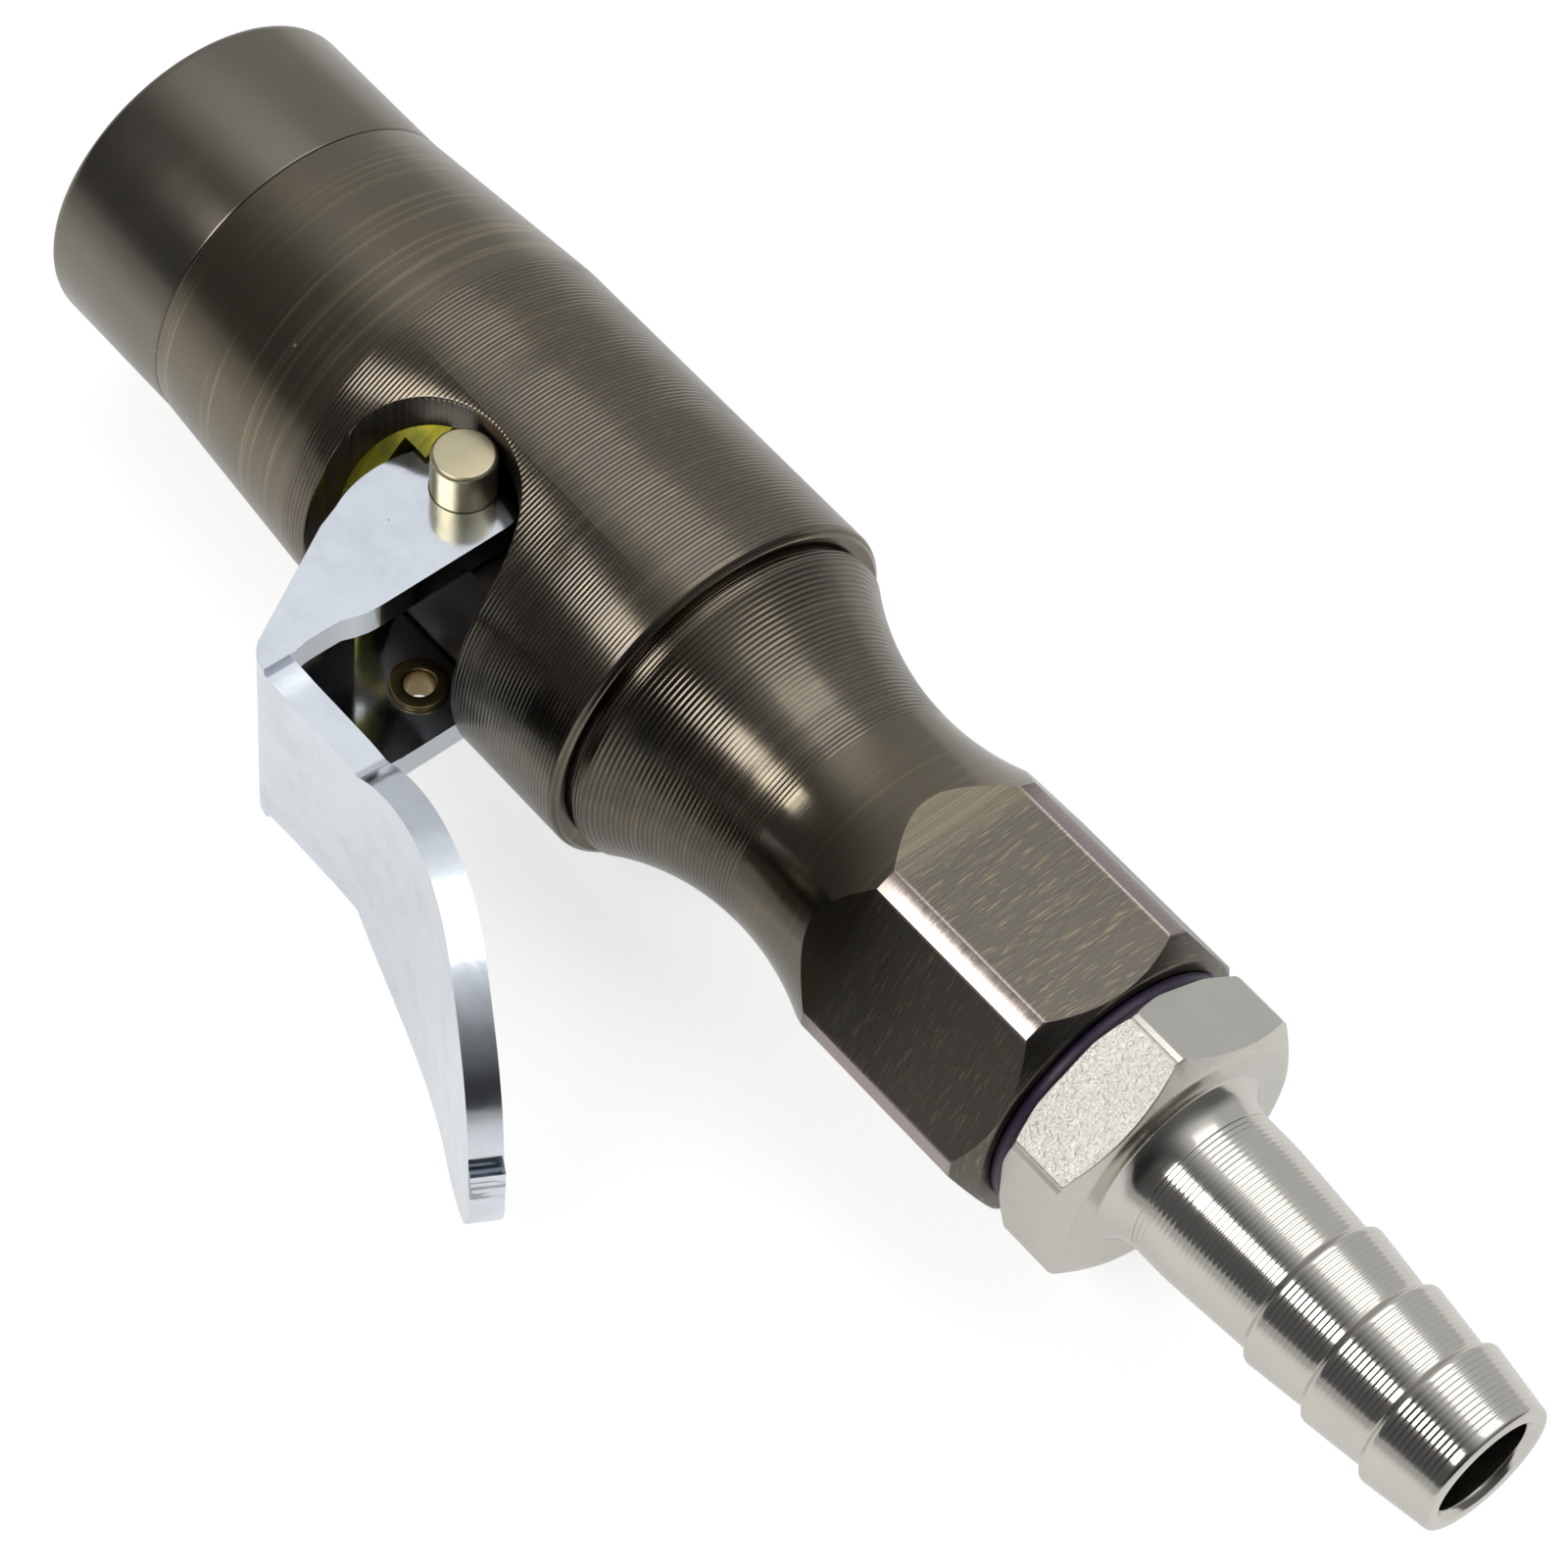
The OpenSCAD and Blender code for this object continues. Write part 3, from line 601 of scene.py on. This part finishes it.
class NOZZLE_OT_body(bpy.types.Operator):
    """Models the turned body with its window, neck and hexagon"""

    bl_idname = "nozzle.body"
    bl_label = "Main body"

    def execute(self, context):
        s = context.scene.nozzle_sizes
        at = Stations(s)
        bm = bmesh.new()
        groove_r = s.body_r - 1.4 * MM
        band_r = s.body_r - 1.05 * MM
        half = math.sqrt(s.cove_r ** 2 - (s.neck_r + s.cove_r - band_r) ** 2)
        front = rounded([
            (at.neck, at.duct_r, 0), (at.bore_end, at.duct_r, 0.1 * MM), (at.bore_end, at.bore_r, 0.3 * MM),
            (at.seam, at.bore_r, 0.1 * MM), (at.seam, s.cap_r, 0.16 * MM), (at.grip, s.body_r, 0.4 * MM),
            (at.shoulder - 0.43 * MM, s.body_r, 0.12 * MM), (at.shoulder, s.body_r - 0.43 * MM, 0.12 * MM),
            (at.shoulder, groove_r, 0.08 * MM), (at.shoulder + 0.4 * MM, groove_r, 0.08 * MM),
            (at.shoulder + 0.4 * MM, band_r, 0.12 * MM), (at.neck - half, band_r, 0)])
        steps = 20
        for i in range(1, steps + 1):
            x = at.neck - half * (1 - i / steps)
            front.append(Vector((x, cove_radius(s, at, x))))
        turn(bm, front, s.round_steps, closed=False)

        back = bmesh.new()
        hex_r = s.body_flats / 2 + 1.1 * MM
        reach = math.sqrt(s.cove_r ** 2 - (s.neck_r + s.cove_r - hex_r) ** 2)
        outline = []
        for i in range(steps + 1):
            x = at.neck + reach * i / steps
            outline.append(Vector((x, cove_radius(s, at, x))))
        outline += rounded([
            (at.neck + reach, hex_r, 0), (at.hex_end - 1.3 * MM, hex_r, 0.15 * MM),
            (at.hex_end, s.body_flats / 2 - 0.1 * MM, 0.15 * MM), (at.hex_end, at.inlet_r, 0.15 * MM),
            (at.seat, at.inlet_r, 0.1 * MM), (at.seat, at.duct_r, 0.1 * MM), (at.neck, at.duct_r, 0)])[1:]
        turn(back, outline, s.round_steps, closed=False)
        cut_flats(back, s.body_flats, 0)
        mesh = bpy.data.meshes.new("back")
        back.to_mesh(mesh)
        back.free()
        bm.from_mesh(mesh)
        bpy.data.meshes.remove(mesh)
        bmesh.ops.remove_doubles(bm, verts=bm.verts, dist=0.001 * MM)
        bmesh.ops.recalc_face_normals(bm, faces=bm.faces)

        piece = new_mesh("turned_body")
        bm.to_mesh(piece.data)
        bm.free()
        window_r = 7 * MM
        window_x = at.grip + 9 * MM
        window_y = PIN_Y + s.pin_r + 0.05 * MM - window_r
        outline = arc(window_x, window_y, window_r, 0, 180, 60)
        outline += [(window_x - window_r, -2 * s.body_r), (window_x + window_r, -2 * s.body_r)]
        cutter = new_mesh("window")
        slot = plate(outline, -1.2 * s.body_r, 1.2 * s.body_r)
        slot.to_mesh(cutter.data)
        slot.free()
        carve(piece, cutter)
        bm = bmesh.new()
        bm.from_mesh(piece.data)
        bmesh.ops.remove_doubles(bm, verts=bm.verts, dist=0.02 * MM)
        rim = []
        for e in bm.edges:
            spot = (e.verts[0].co + e.verts[1].co) / 2
            inside = at.grip - MM < spot.x < at.shoulder and len(e.link_faces) == 2
            if inside and math.hypot(spot.y, spot.z) > s.body_r - 0.1 * MM and e.calc_face_angle(0) > 0.5:
                rim.append(e)
        bmesh.ops.bevel(
            bm, geom=rim, offset=0.12 * MM, offset_type="OFFSET", affect="EDGES", segments=2,
            profile=0.5, clamp_overlap=False, material=-1)
        material = body_metal(
            context.scene.nozzle_colours, at.seam / MM, at.grip / MM, at.neck / MM, at.hexagon / MM,
            s.body_r / MM, hex_r / MM)
        finish_mesh(piece, bm, material, 25)
        place(piece, "housing", "body_metal", "main_body")
        return {"FINISHED"}


class NOZZLE_OT_cap(bpy.types.Operator):
    """Models the front cap with its mouth and jaw cone"""

    bl_idname = "nozzle.cap"
    bl_label = "Front cap"

    def execute(self, context):
        s = context.scene.nozzle_sizes
        at = Stations(s)
        bm = bmesh.new()
        mouth_r = 4.4 * MM
        cone_x = 2.2 * MM
        cone_r = mouth_r + 0.7 * MM
        thread_r = at.bore_r - 0.02 * MM
        cone_end = 12.65 * MM
        cone_end_r = cone_r + (cone_end - cone_x) * math.tan(math.radians(20))
        outline = rounded([
            (cone_x, mouth_r, 0), (0, mouth_r, 0.35 * MM), (0, s.cap_r, 0.75 * MM),
            (at.seam, s.cap_r, 0.16 * MM), (at.seam, thread_r, 0.05 * MM), (CAP_HIGH.x, thread_r, 0.2 * MM),
            (CAP_HIGH.x, cone_end_r, 0.1 * MM), (cone_end, cone_end_r, 0.4 * MM), (cone_x, cone_r, 0)], 6)
        turn(bm, outline, s.round_steps)
        piece = new_mesh("cap_shell")
        finish_mesh(piece, bm, cap_metal(context.scene.nozzle_colours))
        place(piece, "housing", "cap_metal", "front_cap")
        return {"FINISHED"}


class NOZZLE_OT_barb(bpy.types.Operator):
    """Models the barb fitting: spigot, hexagon, shank and barbs with turned ridges"""

    bl_idname = "nozzle.barb"
    bl_label = "Barb fitting"

    def execute(self, context):
        s = context.scene.nozzle_sizes
        nut = GASKET_HIGH.x + 0.02 * MM
        nut_end = nut + 5.3 * MM
        first = nut_end + 11.1 * MM
        end = BARB_HIGH.x
        root = s.barb_r - 0.45 * MM
        nut_r = s.nut_flats / 2 + 1.15 * MM
        spigot_r = 6.48 * MM
        pitch, depth = s.ridge_pitch, s.ridge_depth
        outline = rounded([
            (BARB_LOW.x, s.barb_bore, 0), (BARB_LOW.x, spigot_r, 0.3 * MM), (nut, spigot_r, 0.1 * MM),
            (nut, nut_r - 0.95 * MM, 0.1 * MM), (nut + 0.6 * MM, nut_r, 0.1 * MM),
            (nut_end - 0.9 * MM, nut_r, 0.1 * MM), (nut_end, s.nut_flats / 2 - 0.4 * MM, 0.2 * MM),
            (nut_end, s.barb_r + 1 * MM, 0.1 * MM), (nut_end + 0.7 * MM, s.barb_r + 0.3 * MM, 0.5 * MM),
            (nut_end + 1.7 * MM, s.barb_r, 0)])
        outline += ridged(nut_end + 1.7 * MM, s.barb_r, nut_end + 4.4 * MM, s.barb_r, pitch, depth)
        outline += ridged(nut_end + 4.4 * MM, s.barb_r, first - 0.5 * MM, root, pitch, depth)
        count = round((end - first) / s.barb_pitch)
        for i in range(count):
            crest = first + i * s.barb_pitch
            outline += rounded([
                (crest - 0.6 * MM, root, 0), (crest - 0.45 * MM, root, 0.1 * MM),
                (crest - 0.05 * MM, s.barb_r, 0.12 * MM), (crest + 0.25 * MM, s.barb_r, 0)], 3)
            if i < count - 1:
                outline += ridged(
                    crest + 0.25 * MM, s.barb_r, crest + s.barb_pitch - 0.65 * MM, root, pitch, depth)
        last = end - 0.6 * MM
        outline += ridged(end - s.barb_pitch + 0.25 * MM, s.barb_r, last, root - 0.1 * MM, pitch, depth)
        outline += rounded([
            (last, root - 0.1 * MM, 0), (end, root - 0.2 * MM, 0.55 * MM),
            (end, s.barb_bore + 0.4 * MM, 0.12 * MM), (end - 0.4 * MM, s.barb_bore, 0.15 * MM),
            (end - 1.2 * MM, s.barb_bore, 0)], 5)
        bm = bmesh.new()
        turn(bm, outline, s.round_steps * 2 // 3)
        cut_flats(bm, s.nut_flats, s.nut_turn)
        piece = new_mesh("barb_fitting")
        material = nickel_plate(
            context.scene.nozzle_colours, nut / MM, nut_end / MM, s.nut_turn + math.pi / 3,
            s.nut_flats / 2 / MM)
        finish_mesh(piece, bm, material, 30)
        place(piece, "housing", "barb_nickel", "hose_barb")
        return {"FINISHED"}


class NOZZLE_OT_gasket(bpy.types.Operator):
    """Models the gasket squeezed between the two hexagons"""

    bl_idname = "nozzle.gasket"
    bl_label = "Gasket"

    def execute(self, context):
        s = context.scene.nozzle_sizes
        bm = bmesh.new()
        low, high = GASKET_LOW.x, GASKET_HIGH.x
        inner, outer = 6.52 * MM, GASKET_HIGH.z
        middle = (low + high) / 2
        outline = rounded([
            (middle, inner, 0), (low, inner, 0.1 * MM), (low, outer - 0.1 * MM, 0.15 * MM),
            (middle, outer, 0.3 * MM), (high, outer - 0.1 * MM, 0.15 * MM), (high, inner, 0.1 * MM),
            (middle, inner, 0)], 5)[:-1]
        turn(bm, outline, s.round_steps)
        piece = new_mesh("hex_gasket")
        material = soft_seal("gasket_fibre", context.scene.nozzle_colours.gasket, 0.42)
        finish_mesh(piece, bm, material, 50)
        place(piece, "housing", "gasket_fibre", "inlet_gasket")
        return {"FINISHED"}


class NOZZLE_OT_pin(bpy.types.Operator):
    """Models the cross pin with its broken edges"""

    bl_idname = "nozzle.pin"
    bl_label = "Cross pin"

    def execute(self, context):
        s = context.scene.nozzle_sizes
        half = PIN_HIGH.z
        bm = bmesh.new()
        outline = rounded([
            (-half, 0, 0), (-half, s.pin_r - 0.2 * MM, 0.06 * MM), (-half + 0.2 * MM, s.pin_r, 0.1 * MM),
            (half - 0.2 * MM, s.pin_r, 0.1 * MM), (half, s.pin_r - 0.2 * MM, 0.06 * MM), (half, 0, 0)], 3)
        turn(bm, outline, 96, closed=False)
        upright = Matrix.Translation((PIN_X, PIN_Y, 0)) @ Matrix.Rotation(math.radians(-90), 4, "Y")
        bmesh.ops.transform(bm, matrix=upright, verts=bm.verts)
        piece = new_mesh("lever_pin")
        finish_mesh(piece, bm, pin_brass(context.scene.nozzle_colours), 40)
        place(piece, "housing", "pin_brass", "cross_pin")
        return {"FINISHED"}


def smooth(k):
    """A step from 0 to 1 with soft ends."""
    k = max(0, min(1, k))
    return k * k * (3 - 2 * k)


class Strip:
    """The lever's long strip: the outer face's line in plan, and the strip's width along it."""

    def __init__(self, s):
        self.s = s
        self.angle = math.radians(-60.8)
        self.start = Vector((PIN_X - 2.9 * MM, LEVER_START_Y))
        self.stem_y = self.start.y - 9.05 * MM
        self.inner_r = 0.15 * MM
        self.bend_r = s.sheet + self.inner_r
        along = Vector((math.cos(self.angle), math.sin(self.angle)))
        self.along = along
        self.inward = Vector((-along.y, along.x))
        centre_y = self.stem_y + self.bend_r
        offset = self.start + self.inward * self.bend_r
        self.web = (centre_y - offset.y) / along.y
        self.centre = offset + along * self.web
        self.bend = self.web + self.bend_r * -self.angle
        self.sweep_x = self.centre.x + 6.4 * MM
        self.sweep_s = self.bend + (self.sweep_x - self.centre.x)
        self.sweep_end = self.sweep_s + s.sweep_r * s.sweep
        self.pad_x = PIN_X + 22.5 * MM
        self.tip_x = LEVER_HIGH.x if LEVER_HIGH.x > self.pad_x else self.pad_x

    def at(self, t):
        """The place of the outer face's line and the way inwards, at a length along it."""
        s = self.s
        if t < self.web:
            return self.start + self.along * t, self.inward
        if t < self.bend:
            a = self.angle - math.pi / 2 + (t - self.web) / self.bend_r
            out = Vector((math.cos(a), math.sin(a)))
            return self.centre + out * self.bend_r, -out
        if t < self.sweep_s:
            return Vector((self.centre.x + t - self.bend, self.stem_y)), Vector((0, 1))
        a = min((t - self.sweep_s) / s.sweep_r, s.sweep)
        inward = Vector((math.sin(a), math.cos(a)))
        place = Vector((
            self.sweep_x + s.sweep_r * math.sin(a), self.stem_y - s.sweep_r * (1 - math.cos(a))))
        rest = max(0, t - self.sweep_end)
        return place + Vector((math.cos(a), -math.sin(a))) * rest, inward

    def half_width(self, t, x, near):
        """Width on one side of the middle: web between the ears, flared elbow, stem, pad and round tip."""
        s = self.s
        inner = s.ear_out - s.sheet + 0.15 * MM
        flare = s.stem_w + 0.12 * MM
        if t < self.bend:
            return inner + (flare - inner) * smooth((t - self.web) / (1.2 * MM) + 1)
        stem = flare + (s.stem_w - flare) * smooth((t - self.bend) / (2.6 * MM))
        centre, reach = (self.pad_x - 1.8 * MM, s.pad_near) if near else (self.pad_x, s.pad_r)
        disc = reach * math.sqrt(max(0, 1 - ((x - centre) / s.pad_r) ** 2))
        width = max(stem, disc) if x < self.pad_x else disc
        corner = (3.2 if near else 1.8) * MM
        over = max(0, x - (self.tip_x - corner))
        return width - corner + math.sqrt(max(0, corner ** 2 - over ** 2))


class NOZZLE_OT_lever(bpy.types.Operator):
    """Models the lever: two ears, front web, elbow, stem and thumb pad in bent sheet"""

    bl_idname = "nozzle.lever"
    bl_label = "Lever"

    def strip(self, s):
        """The strip: a flat grid, thickened and rounded, then laid on its bent line."""
        line = Strip(s)
        low, high = 0.0, line.sweep_end + 20 * MM
        for _ in range(40):
            middle = (low + high) / 2
            if line.at(middle)[0].x < line.tip_x - 0.05 * MM:
                low = middle
            else:
                high = middle
        total = low
        bm = bmesh.new()
        bmesh.ops.create_grid(bm, x_segments=150, y_segments=16, size=0.5)
        for v in bm.verts:
            t = total * (1 - (0.5 - v.co.x) ** 1.5)
            v.co = Vector((t, v.co.y * 2 * line.half_width(t, line.at(t)[0].x, v.co.y > 0), 0))
        grown = bmesh.ops.extrude_face_region(bm, geom=bm.faces[:])
        raised = [g for g in grown["geom"] if isinstance(g, bmesh.types.BMVert)]
        bmesh.ops.translate(bm, verts=raised, vec=(0, 0, s.sheet))
        bmesh.ops.recalc_face_normals(bm, faces=bm.faces)
        rim = [e for e in bm.edges if e.calc_face_angle(0) > math.radians(60)]
        level = [e for e in rim if abs(e.verts[0].co.z - e.verts[1].co.z) < 0.1 * MM]
        round_edges(bm, level, 0.32 * MM, 4)
        bmesh.ops.remove_doubles(bm, verts=bm.verts, dist=SLIVER)
        for v in bm.verts:
            t, z, depth = v.co
            place, inward = line.at(t)
            spot = place + inward * depth
            v.co = Vector((spot.x, spot.y, z))
        return bm

    def ear(self, s, side, extra):
        """One ear: head round the pin, cam lobe in front, and the edge that bends into the web."""
        lobe = (PIN_X + 3.8 * MM, PIN_Y - 3.15 * MM)
        lobe_r = 8 * MM
        lobe_from, lobe_to = 164, 208
        back = PIN_X + s.ear_head + extra
        web_y = LEVER_START_Y
        line = Strip(s)
        elbow = line.centre
        top = s.ear_corner + 0.1 * MM
        outline = [(back, PIN_Y - FAR_CORNER)] if extra > 0 else []
        outline += arc(PIN_X + s.ear_head - s.ear_corner, PIN_Y + 0.1 * MM, s.ear_corner, 0, 90, 14)
        start = arc(*lobe, lobe_r, lobe_from, lobe_from, 1)[0]
        for k in range(1, 16):
            a = math.pi / 2 * k / 16
            outline.append((
                PIN_X + (start[0] - PIN_X) * math.sin(a),
                start[1] + (PIN_Y + top - start[1]) * math.cos(a)))
        outline += arc(*lobe, lobe_r, lobe_from, lobe_to, 24)
        for k in range(13):
            place = line.at(0.4 * MM + (line.web - 0.4 * MM) * k / 12)[0]
            outline.append((place.x, place.y))
        for k in range(1, 9):
            place = line.at(line.web + (line.bend - line.web) * k / 8)[0]
            outline.append((place.x, place.y))
        outline += [
            (elbow.x + 0.05 * MM, elbow.y), (elbow.x - 0.1 * MM, elbow.y + 1 * MM),
            (elbow.x - 0.1 * MM, elbow.y + 2.2 * MM),
            (back - 0.55 * MM - extra * 0.3, web_y - 3.5 * MM), (back - 0.25 * MM, web_y - 2.7 * MM),
            (back - 0.06 * MM, web_y - 1.9 * MM), (back, web_y - 1.1 * MM)]
        low, high = s.ear_out - s.sheet, s.ear_out
        bm = plate(outline, low, high)
        bend, rim = [], []
        for e in bm.edges:
            flat = abs(e.verts[0].co.z - e.verts[1].co.z) < 0.1 * MM
            if not flat:
                continue
            middle = (e.verts[0].co + e.verts[1].co) / 2
            spot = Vector((middle.x, middle.y))
            straight = abs((spot - line.start).dot(line.inward)) < 0.05 * MM and middle.y > elbow.y
            bent = abs((spot - elbow).length - line.bend_r) < 0.05 * MM and middle.x < elbow.x
            on_web = middle.y < web_y and (straight or bent)
            if on_web and middle.z > low + 0.1 * MM:
                bend.append(e)
            elif not on_web:
                rim.append(e)
        round_edges(bm, bend, 1.9 * MM, 7)
        rim = [e for e in rim if e.is_valid]
        round_edges(bm, rim, 0.22 * MM, 3)
        if side < 0:
            bmesh.ops.scale(bm, vec=(1, 1, -1), verts=bm.verts)
            bmesh.ops.recalc_face_normals(bm, faces=bm.faces)
        return bm

    def execute(self, context):
        s = context.scene.nozzle_sizes
        material = lever_chrome(context.scene.nozzle_colours)
        piece = finish_mesh(new_mesh("lever_strip"), self.strip(s), material, 50, True)
        hole = s.pin_r + 0.06 * MM
        for name, side, extra in (("ear_top", 1, 0), ("ear_far", -1, FAR_EXTRA)):
            ear = finish_mesh(new_mesh(name), self.ear(s, side, extra), material, 50, True)
            low, high = sorted((side * (s.ear_out - s.sheet - MM), side * (s.ear_out + MM)))
            drill(ear, PIN_X, PIN_Y, hole, low, high)
            if side < 0:
                eye = (EYELET_LOW + EYELET_HIGH) / 2
                drill(ear, eye.x, eye.y, 1.6 * MM, low, high)
            bm = bmesh.new()
            bm.from_mesh(ear.data)
            finish_mesh(ear, bm, material, 40, True)
            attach(ear, "lever")
        place(piece, "lever", "lever_chrome", "lever")
        return {"FINISHED"}


class NOZZLE_OT_eyelet(bpy.types.Operator):
    """Models the small eyelet in the far ear"""

    bl_idname = "nozzle.eyelet"
    bl_label = "Eyelet"

    def execute(self, context):
        low, high = EYELET_LOW.z, EYELET_HIGH.z
        rim = (EYELET_HIGH.x - EYELET_LOW.x) / 2
        bore = 0.95 * MM
        neck = rim - 0.32 * MM
        lip = 0.33 * MM
        bm = bmesh.new()
        outline = rounded([
            (0, bore, 0), (low, bore, 0.2 * MM), (low, rim, 0.18 * MM), (low + lip, rim, 0.1 * MM),
            (low + lip, neck, 0.05 * MM), (high - lip, neck, 0.05 * MM), (high - lip, rim, 0.1 * MM),
            (high, rim, 0.18 * MM), (high, bore, 0.2 * MM), (low * 0.4 + high * 0.6, bore, 0)], 4)[1:]
        turn(bm, outline, 64)
        eye = (EYELET_LOW + EYELET_HIGH) / 2
        upright = Matrix.Translation((eye.x, eye.y, 0)) @ Matrix.Rotation(math.radians(-90), 4, "Y")
        bmesh.ops.transform(bm, matrix=upright, verts=bm.verts)
        piece = new_mesh("ear_eyelet")
        # painted shade: the eyelet's brass is darkened to 0.45 for its dim place between the ears
        eyelet_shaded_brass = shade(context.scene.nozzle_colours.brass, 0.45)
        finish_mesh(piece, bm, plain_metal("eyelet_brass", eyelet_shaded_brass, 0.28), 50)
        place(piece, "lever", "pin_brass", "lanyard_eyelet")
        return {"FINISHED"}


class NOZZLE_OT_inside(bpy.types.Operator):
    """Finishes the pieces that keep their CAD shape: sleeve, core, jaws, springs, valve and seals"""

    bl_idname = "nozzle.inside"
    bl_label = "Inner pieces"

    def execute(self, context):
        c = context.scene.nozzle_colours
        finishes = {
            sleeve_zinc(c): ["push_sleeve"],
            plain_metal("core_steel", c.core, 0.42): ["core_block"],
            plain_metal("jaw_steel", c.jaw, 0.3): ["jaw_1", "jaw_2", "jaw_3"],
            plain_metal("spring_wire", c.spring, 0.25): ["sleeve_spring", "spring_washer", "poppet_spring"],
            plain_metal("valve_brass", c.brass, 0.26): [
                "air_tube", "seal_cup", "depressor_pin", "check_seat", "poppet_guide", "filter_screen",
                "check_poppet"],
            soft_seal("seal_rubber", c.rubber, 0.5): ["stem_seal", "core_oring", "poppet_oring"],
        }
        for material, names in finishes.items():
            for name in names:
                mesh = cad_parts[name].data
                mesh.materials.clear()
                mesh.materials.append(material)
        return {"FINISHED"}


class NOZZLE_OT_stage(bpy.types.Operator):
    """Sets the floor, the soft lights and the camera"""

    bl_idname = "nozzle.stage"
    bl_label = "Stage"

    def softbox(self, name, place, target, width, height, power, colour):
        """A rectangular light, aimed at a place."""
        light = bpy.data.lights.new(name, "AREA")
        light.shape = "RECTANGLE"
        light.size = width
        light.size_y = height
        light.energy = power
        light.color = colour
        lamp = bpy.data.objects.new(name, light)
        bpy.context.scene.collection.objects.link(lamp)
        lamp.location = place
        lamp.rotation_euler = (Vector(target) - Vector(place)).to_track_quat("-Z", "X").to_euler()

    def sky(self, scene):
        """A soft surround: bright overhead and towards +Y, dim towards -Y and +X. The camera sees white."""
        world = bpy.data.worlds.new("studio")
        world.use_nodes = True
        scene.world = world
        tree = world.node_tree
        parts = tree.nodes.new("ShaderNodeSeparateXYZ")
        coordinates = tree.nodes.new("ShaderNodeTexCoord")
        tree.links.new(coordinates.outputs["Generated"], parts.inputs[0])
        x, y, z = (Sock(tree, parts.outputs[i]) for i in range(3))
        behind = y.above(-0.6, 0.35)
        overhead = z.above(0.6, 0.9)
        ahead = x.above(0.05, 0.6) * (1 - 0.4 * z.above(0.3, 0.8))
        level = (0.1 + 0.47 * behind + 0.35 * overhead * behind.above(0.1, 0.9)) * (1 - 0.75 * ahead)
        surround = tree.nodes["Background"]
        tree.links.new(level.socket, surround.inputs["Strength"])
        surround.inputs["Color"].default_value = (0.96, 0.97, 1.0, 1)
        backdrop = tree.nodes.new("ShaderNodeBackground")
        backdrop.inputs["Color"].default_value = (1, 1, 1, 1)
        path = tree.nodes.new("ShaderNodeLightPath")
        mixer = tree.nodes.new("ShaderNodeMixShader")
        tree.links.new(path.outputs["Is Camera Ray"], mixer.inputs[0])
        tree.links.new(surround.outputs[0], mixer.inputs[1])
        tree.links.new(backdrop.outputs[0], mixer.inputs[2])
        tree.links.new(mixer.outputs[0], tree.nodes["World Output"].inputs["Surface"])

    def execute(self, context):
        scene = context.scene
        floor = new_mesh("studio_floor")
        floor_r = 1.6
        bm = bmesh.new()
        bmesh.ops.create_circle(bm, cap_ends=True, segments=96, radius=floor_r)
        bmesh.ops.translate(bm, verts=bm.verts, vec=(0.06, 0, BODY_LOW.z))
        bm.to_mesh(floor.data)
        bm.free()
        floor.data.materials.append(floor_paint(scene.nozzle_colours))
        self.sky(scene)
        middle = (0.058, 0, 0)
        front = (0.005, 0, 0)
        self.softbox("strip_light", (0.005, -0.245, 0.28), front, 0.12, 0.27, 0.5, (1, 0.98, 0.97))
        self.softbox("top_light", (0.02, 0.25, 0.75), middle, 0.5, 0.5, 0.8, (1, 0.98, 0.95))

        camera = bpy.data.objects.new("camera", bpy.data.cameras.new("camera"))
        scene.collection.objects.link(camera)
        camera.data.sensor_width = 36
        camera.data.lens = 131.6
        camera.data.clip_start = 0.01
        right = Vector((0.6431, 0.7633, 0.0621))
        up = Vector((-0.651, 0.5023, 0.5691))
        back = Vector((0.4032, -0.4064, 0.8199))
        eye = Vector((191.6, -136.0, 272.3)) * MM
        camera.matrix_world = Matrix.Translation(eye) @ Matrix((right, up, back)).transposed().to_4x4()
        scene.camera = camera
        scene.view_settings.view_transform = "Standard"
        return {"FINISHED"}


class NOZZLE_PT_panel(bpy.types.Panel):
    """Lists the sizes, the colours and the pieces"""

    bl_idname = "NOZZLE_PT_panel"
    bl_label = "Nozzle"
    bl_space_type = "VIEW_3D"
    bl_region_type = "UI"
    bl_category = "Nozzle"

    def draw(self, context):
        for group in (context.scene.nozzle_sizes, context.scene.nozzle_colours):
            box = self.layout.box()
            for key in group.__annotations__:
                box.prop(group, key)
        for operator in OPERATORS:
            self.layout.operator(operator.bl_idname)


OPERATORS = (
    NOZZLE_OT_body, NOZZLE_OT_cap, NOZZLE_OT_barb, NOZZLE_OT_gasket, NOZZLE_OT_pin, NOZZLE_OT_lever,
    NOZZLE_OT_eyelet, NOZZLE_OT_inside, NOZZLE_OT_stage,
)
CLASSES = (NozzleSizes, NozzleColours) + OPERATORS + (NOZZLE_PT_panel,)


def register():
    for cls in CLASSES:
        bpy.utils.register_class(cls)
    bpy.types.Scene.nozzle_sizes = PointerProperty(type=NozzleSizes)
    bpy.types.Scene.nozzle_colours = PointerProperty(type=NozzleColours)


def unregister():
    del bpy.types.Scene.nozzle_colours
    del bpy.types.Scene.nozzle_sizes
    for cls in reversed(CLASSES):
        bpy.utils.unregister_class(cls)


def main():
    register()
    bpy.ops.nozzle.stage()
    bpy.ops.nozzle.body()
    bpy.ops.nozzle.cap()
    bpy.ops.nozzle.barb()
    bpy.ops.nozzle.gasket()
    bpy.ops.nozzle.pin()
    bpy.ops.nozzle.lever()
    bpy.ops.nozzle.eyelet()
    bpy.ops.nozzle.inside()


if __name__ == "__main__":
    main()
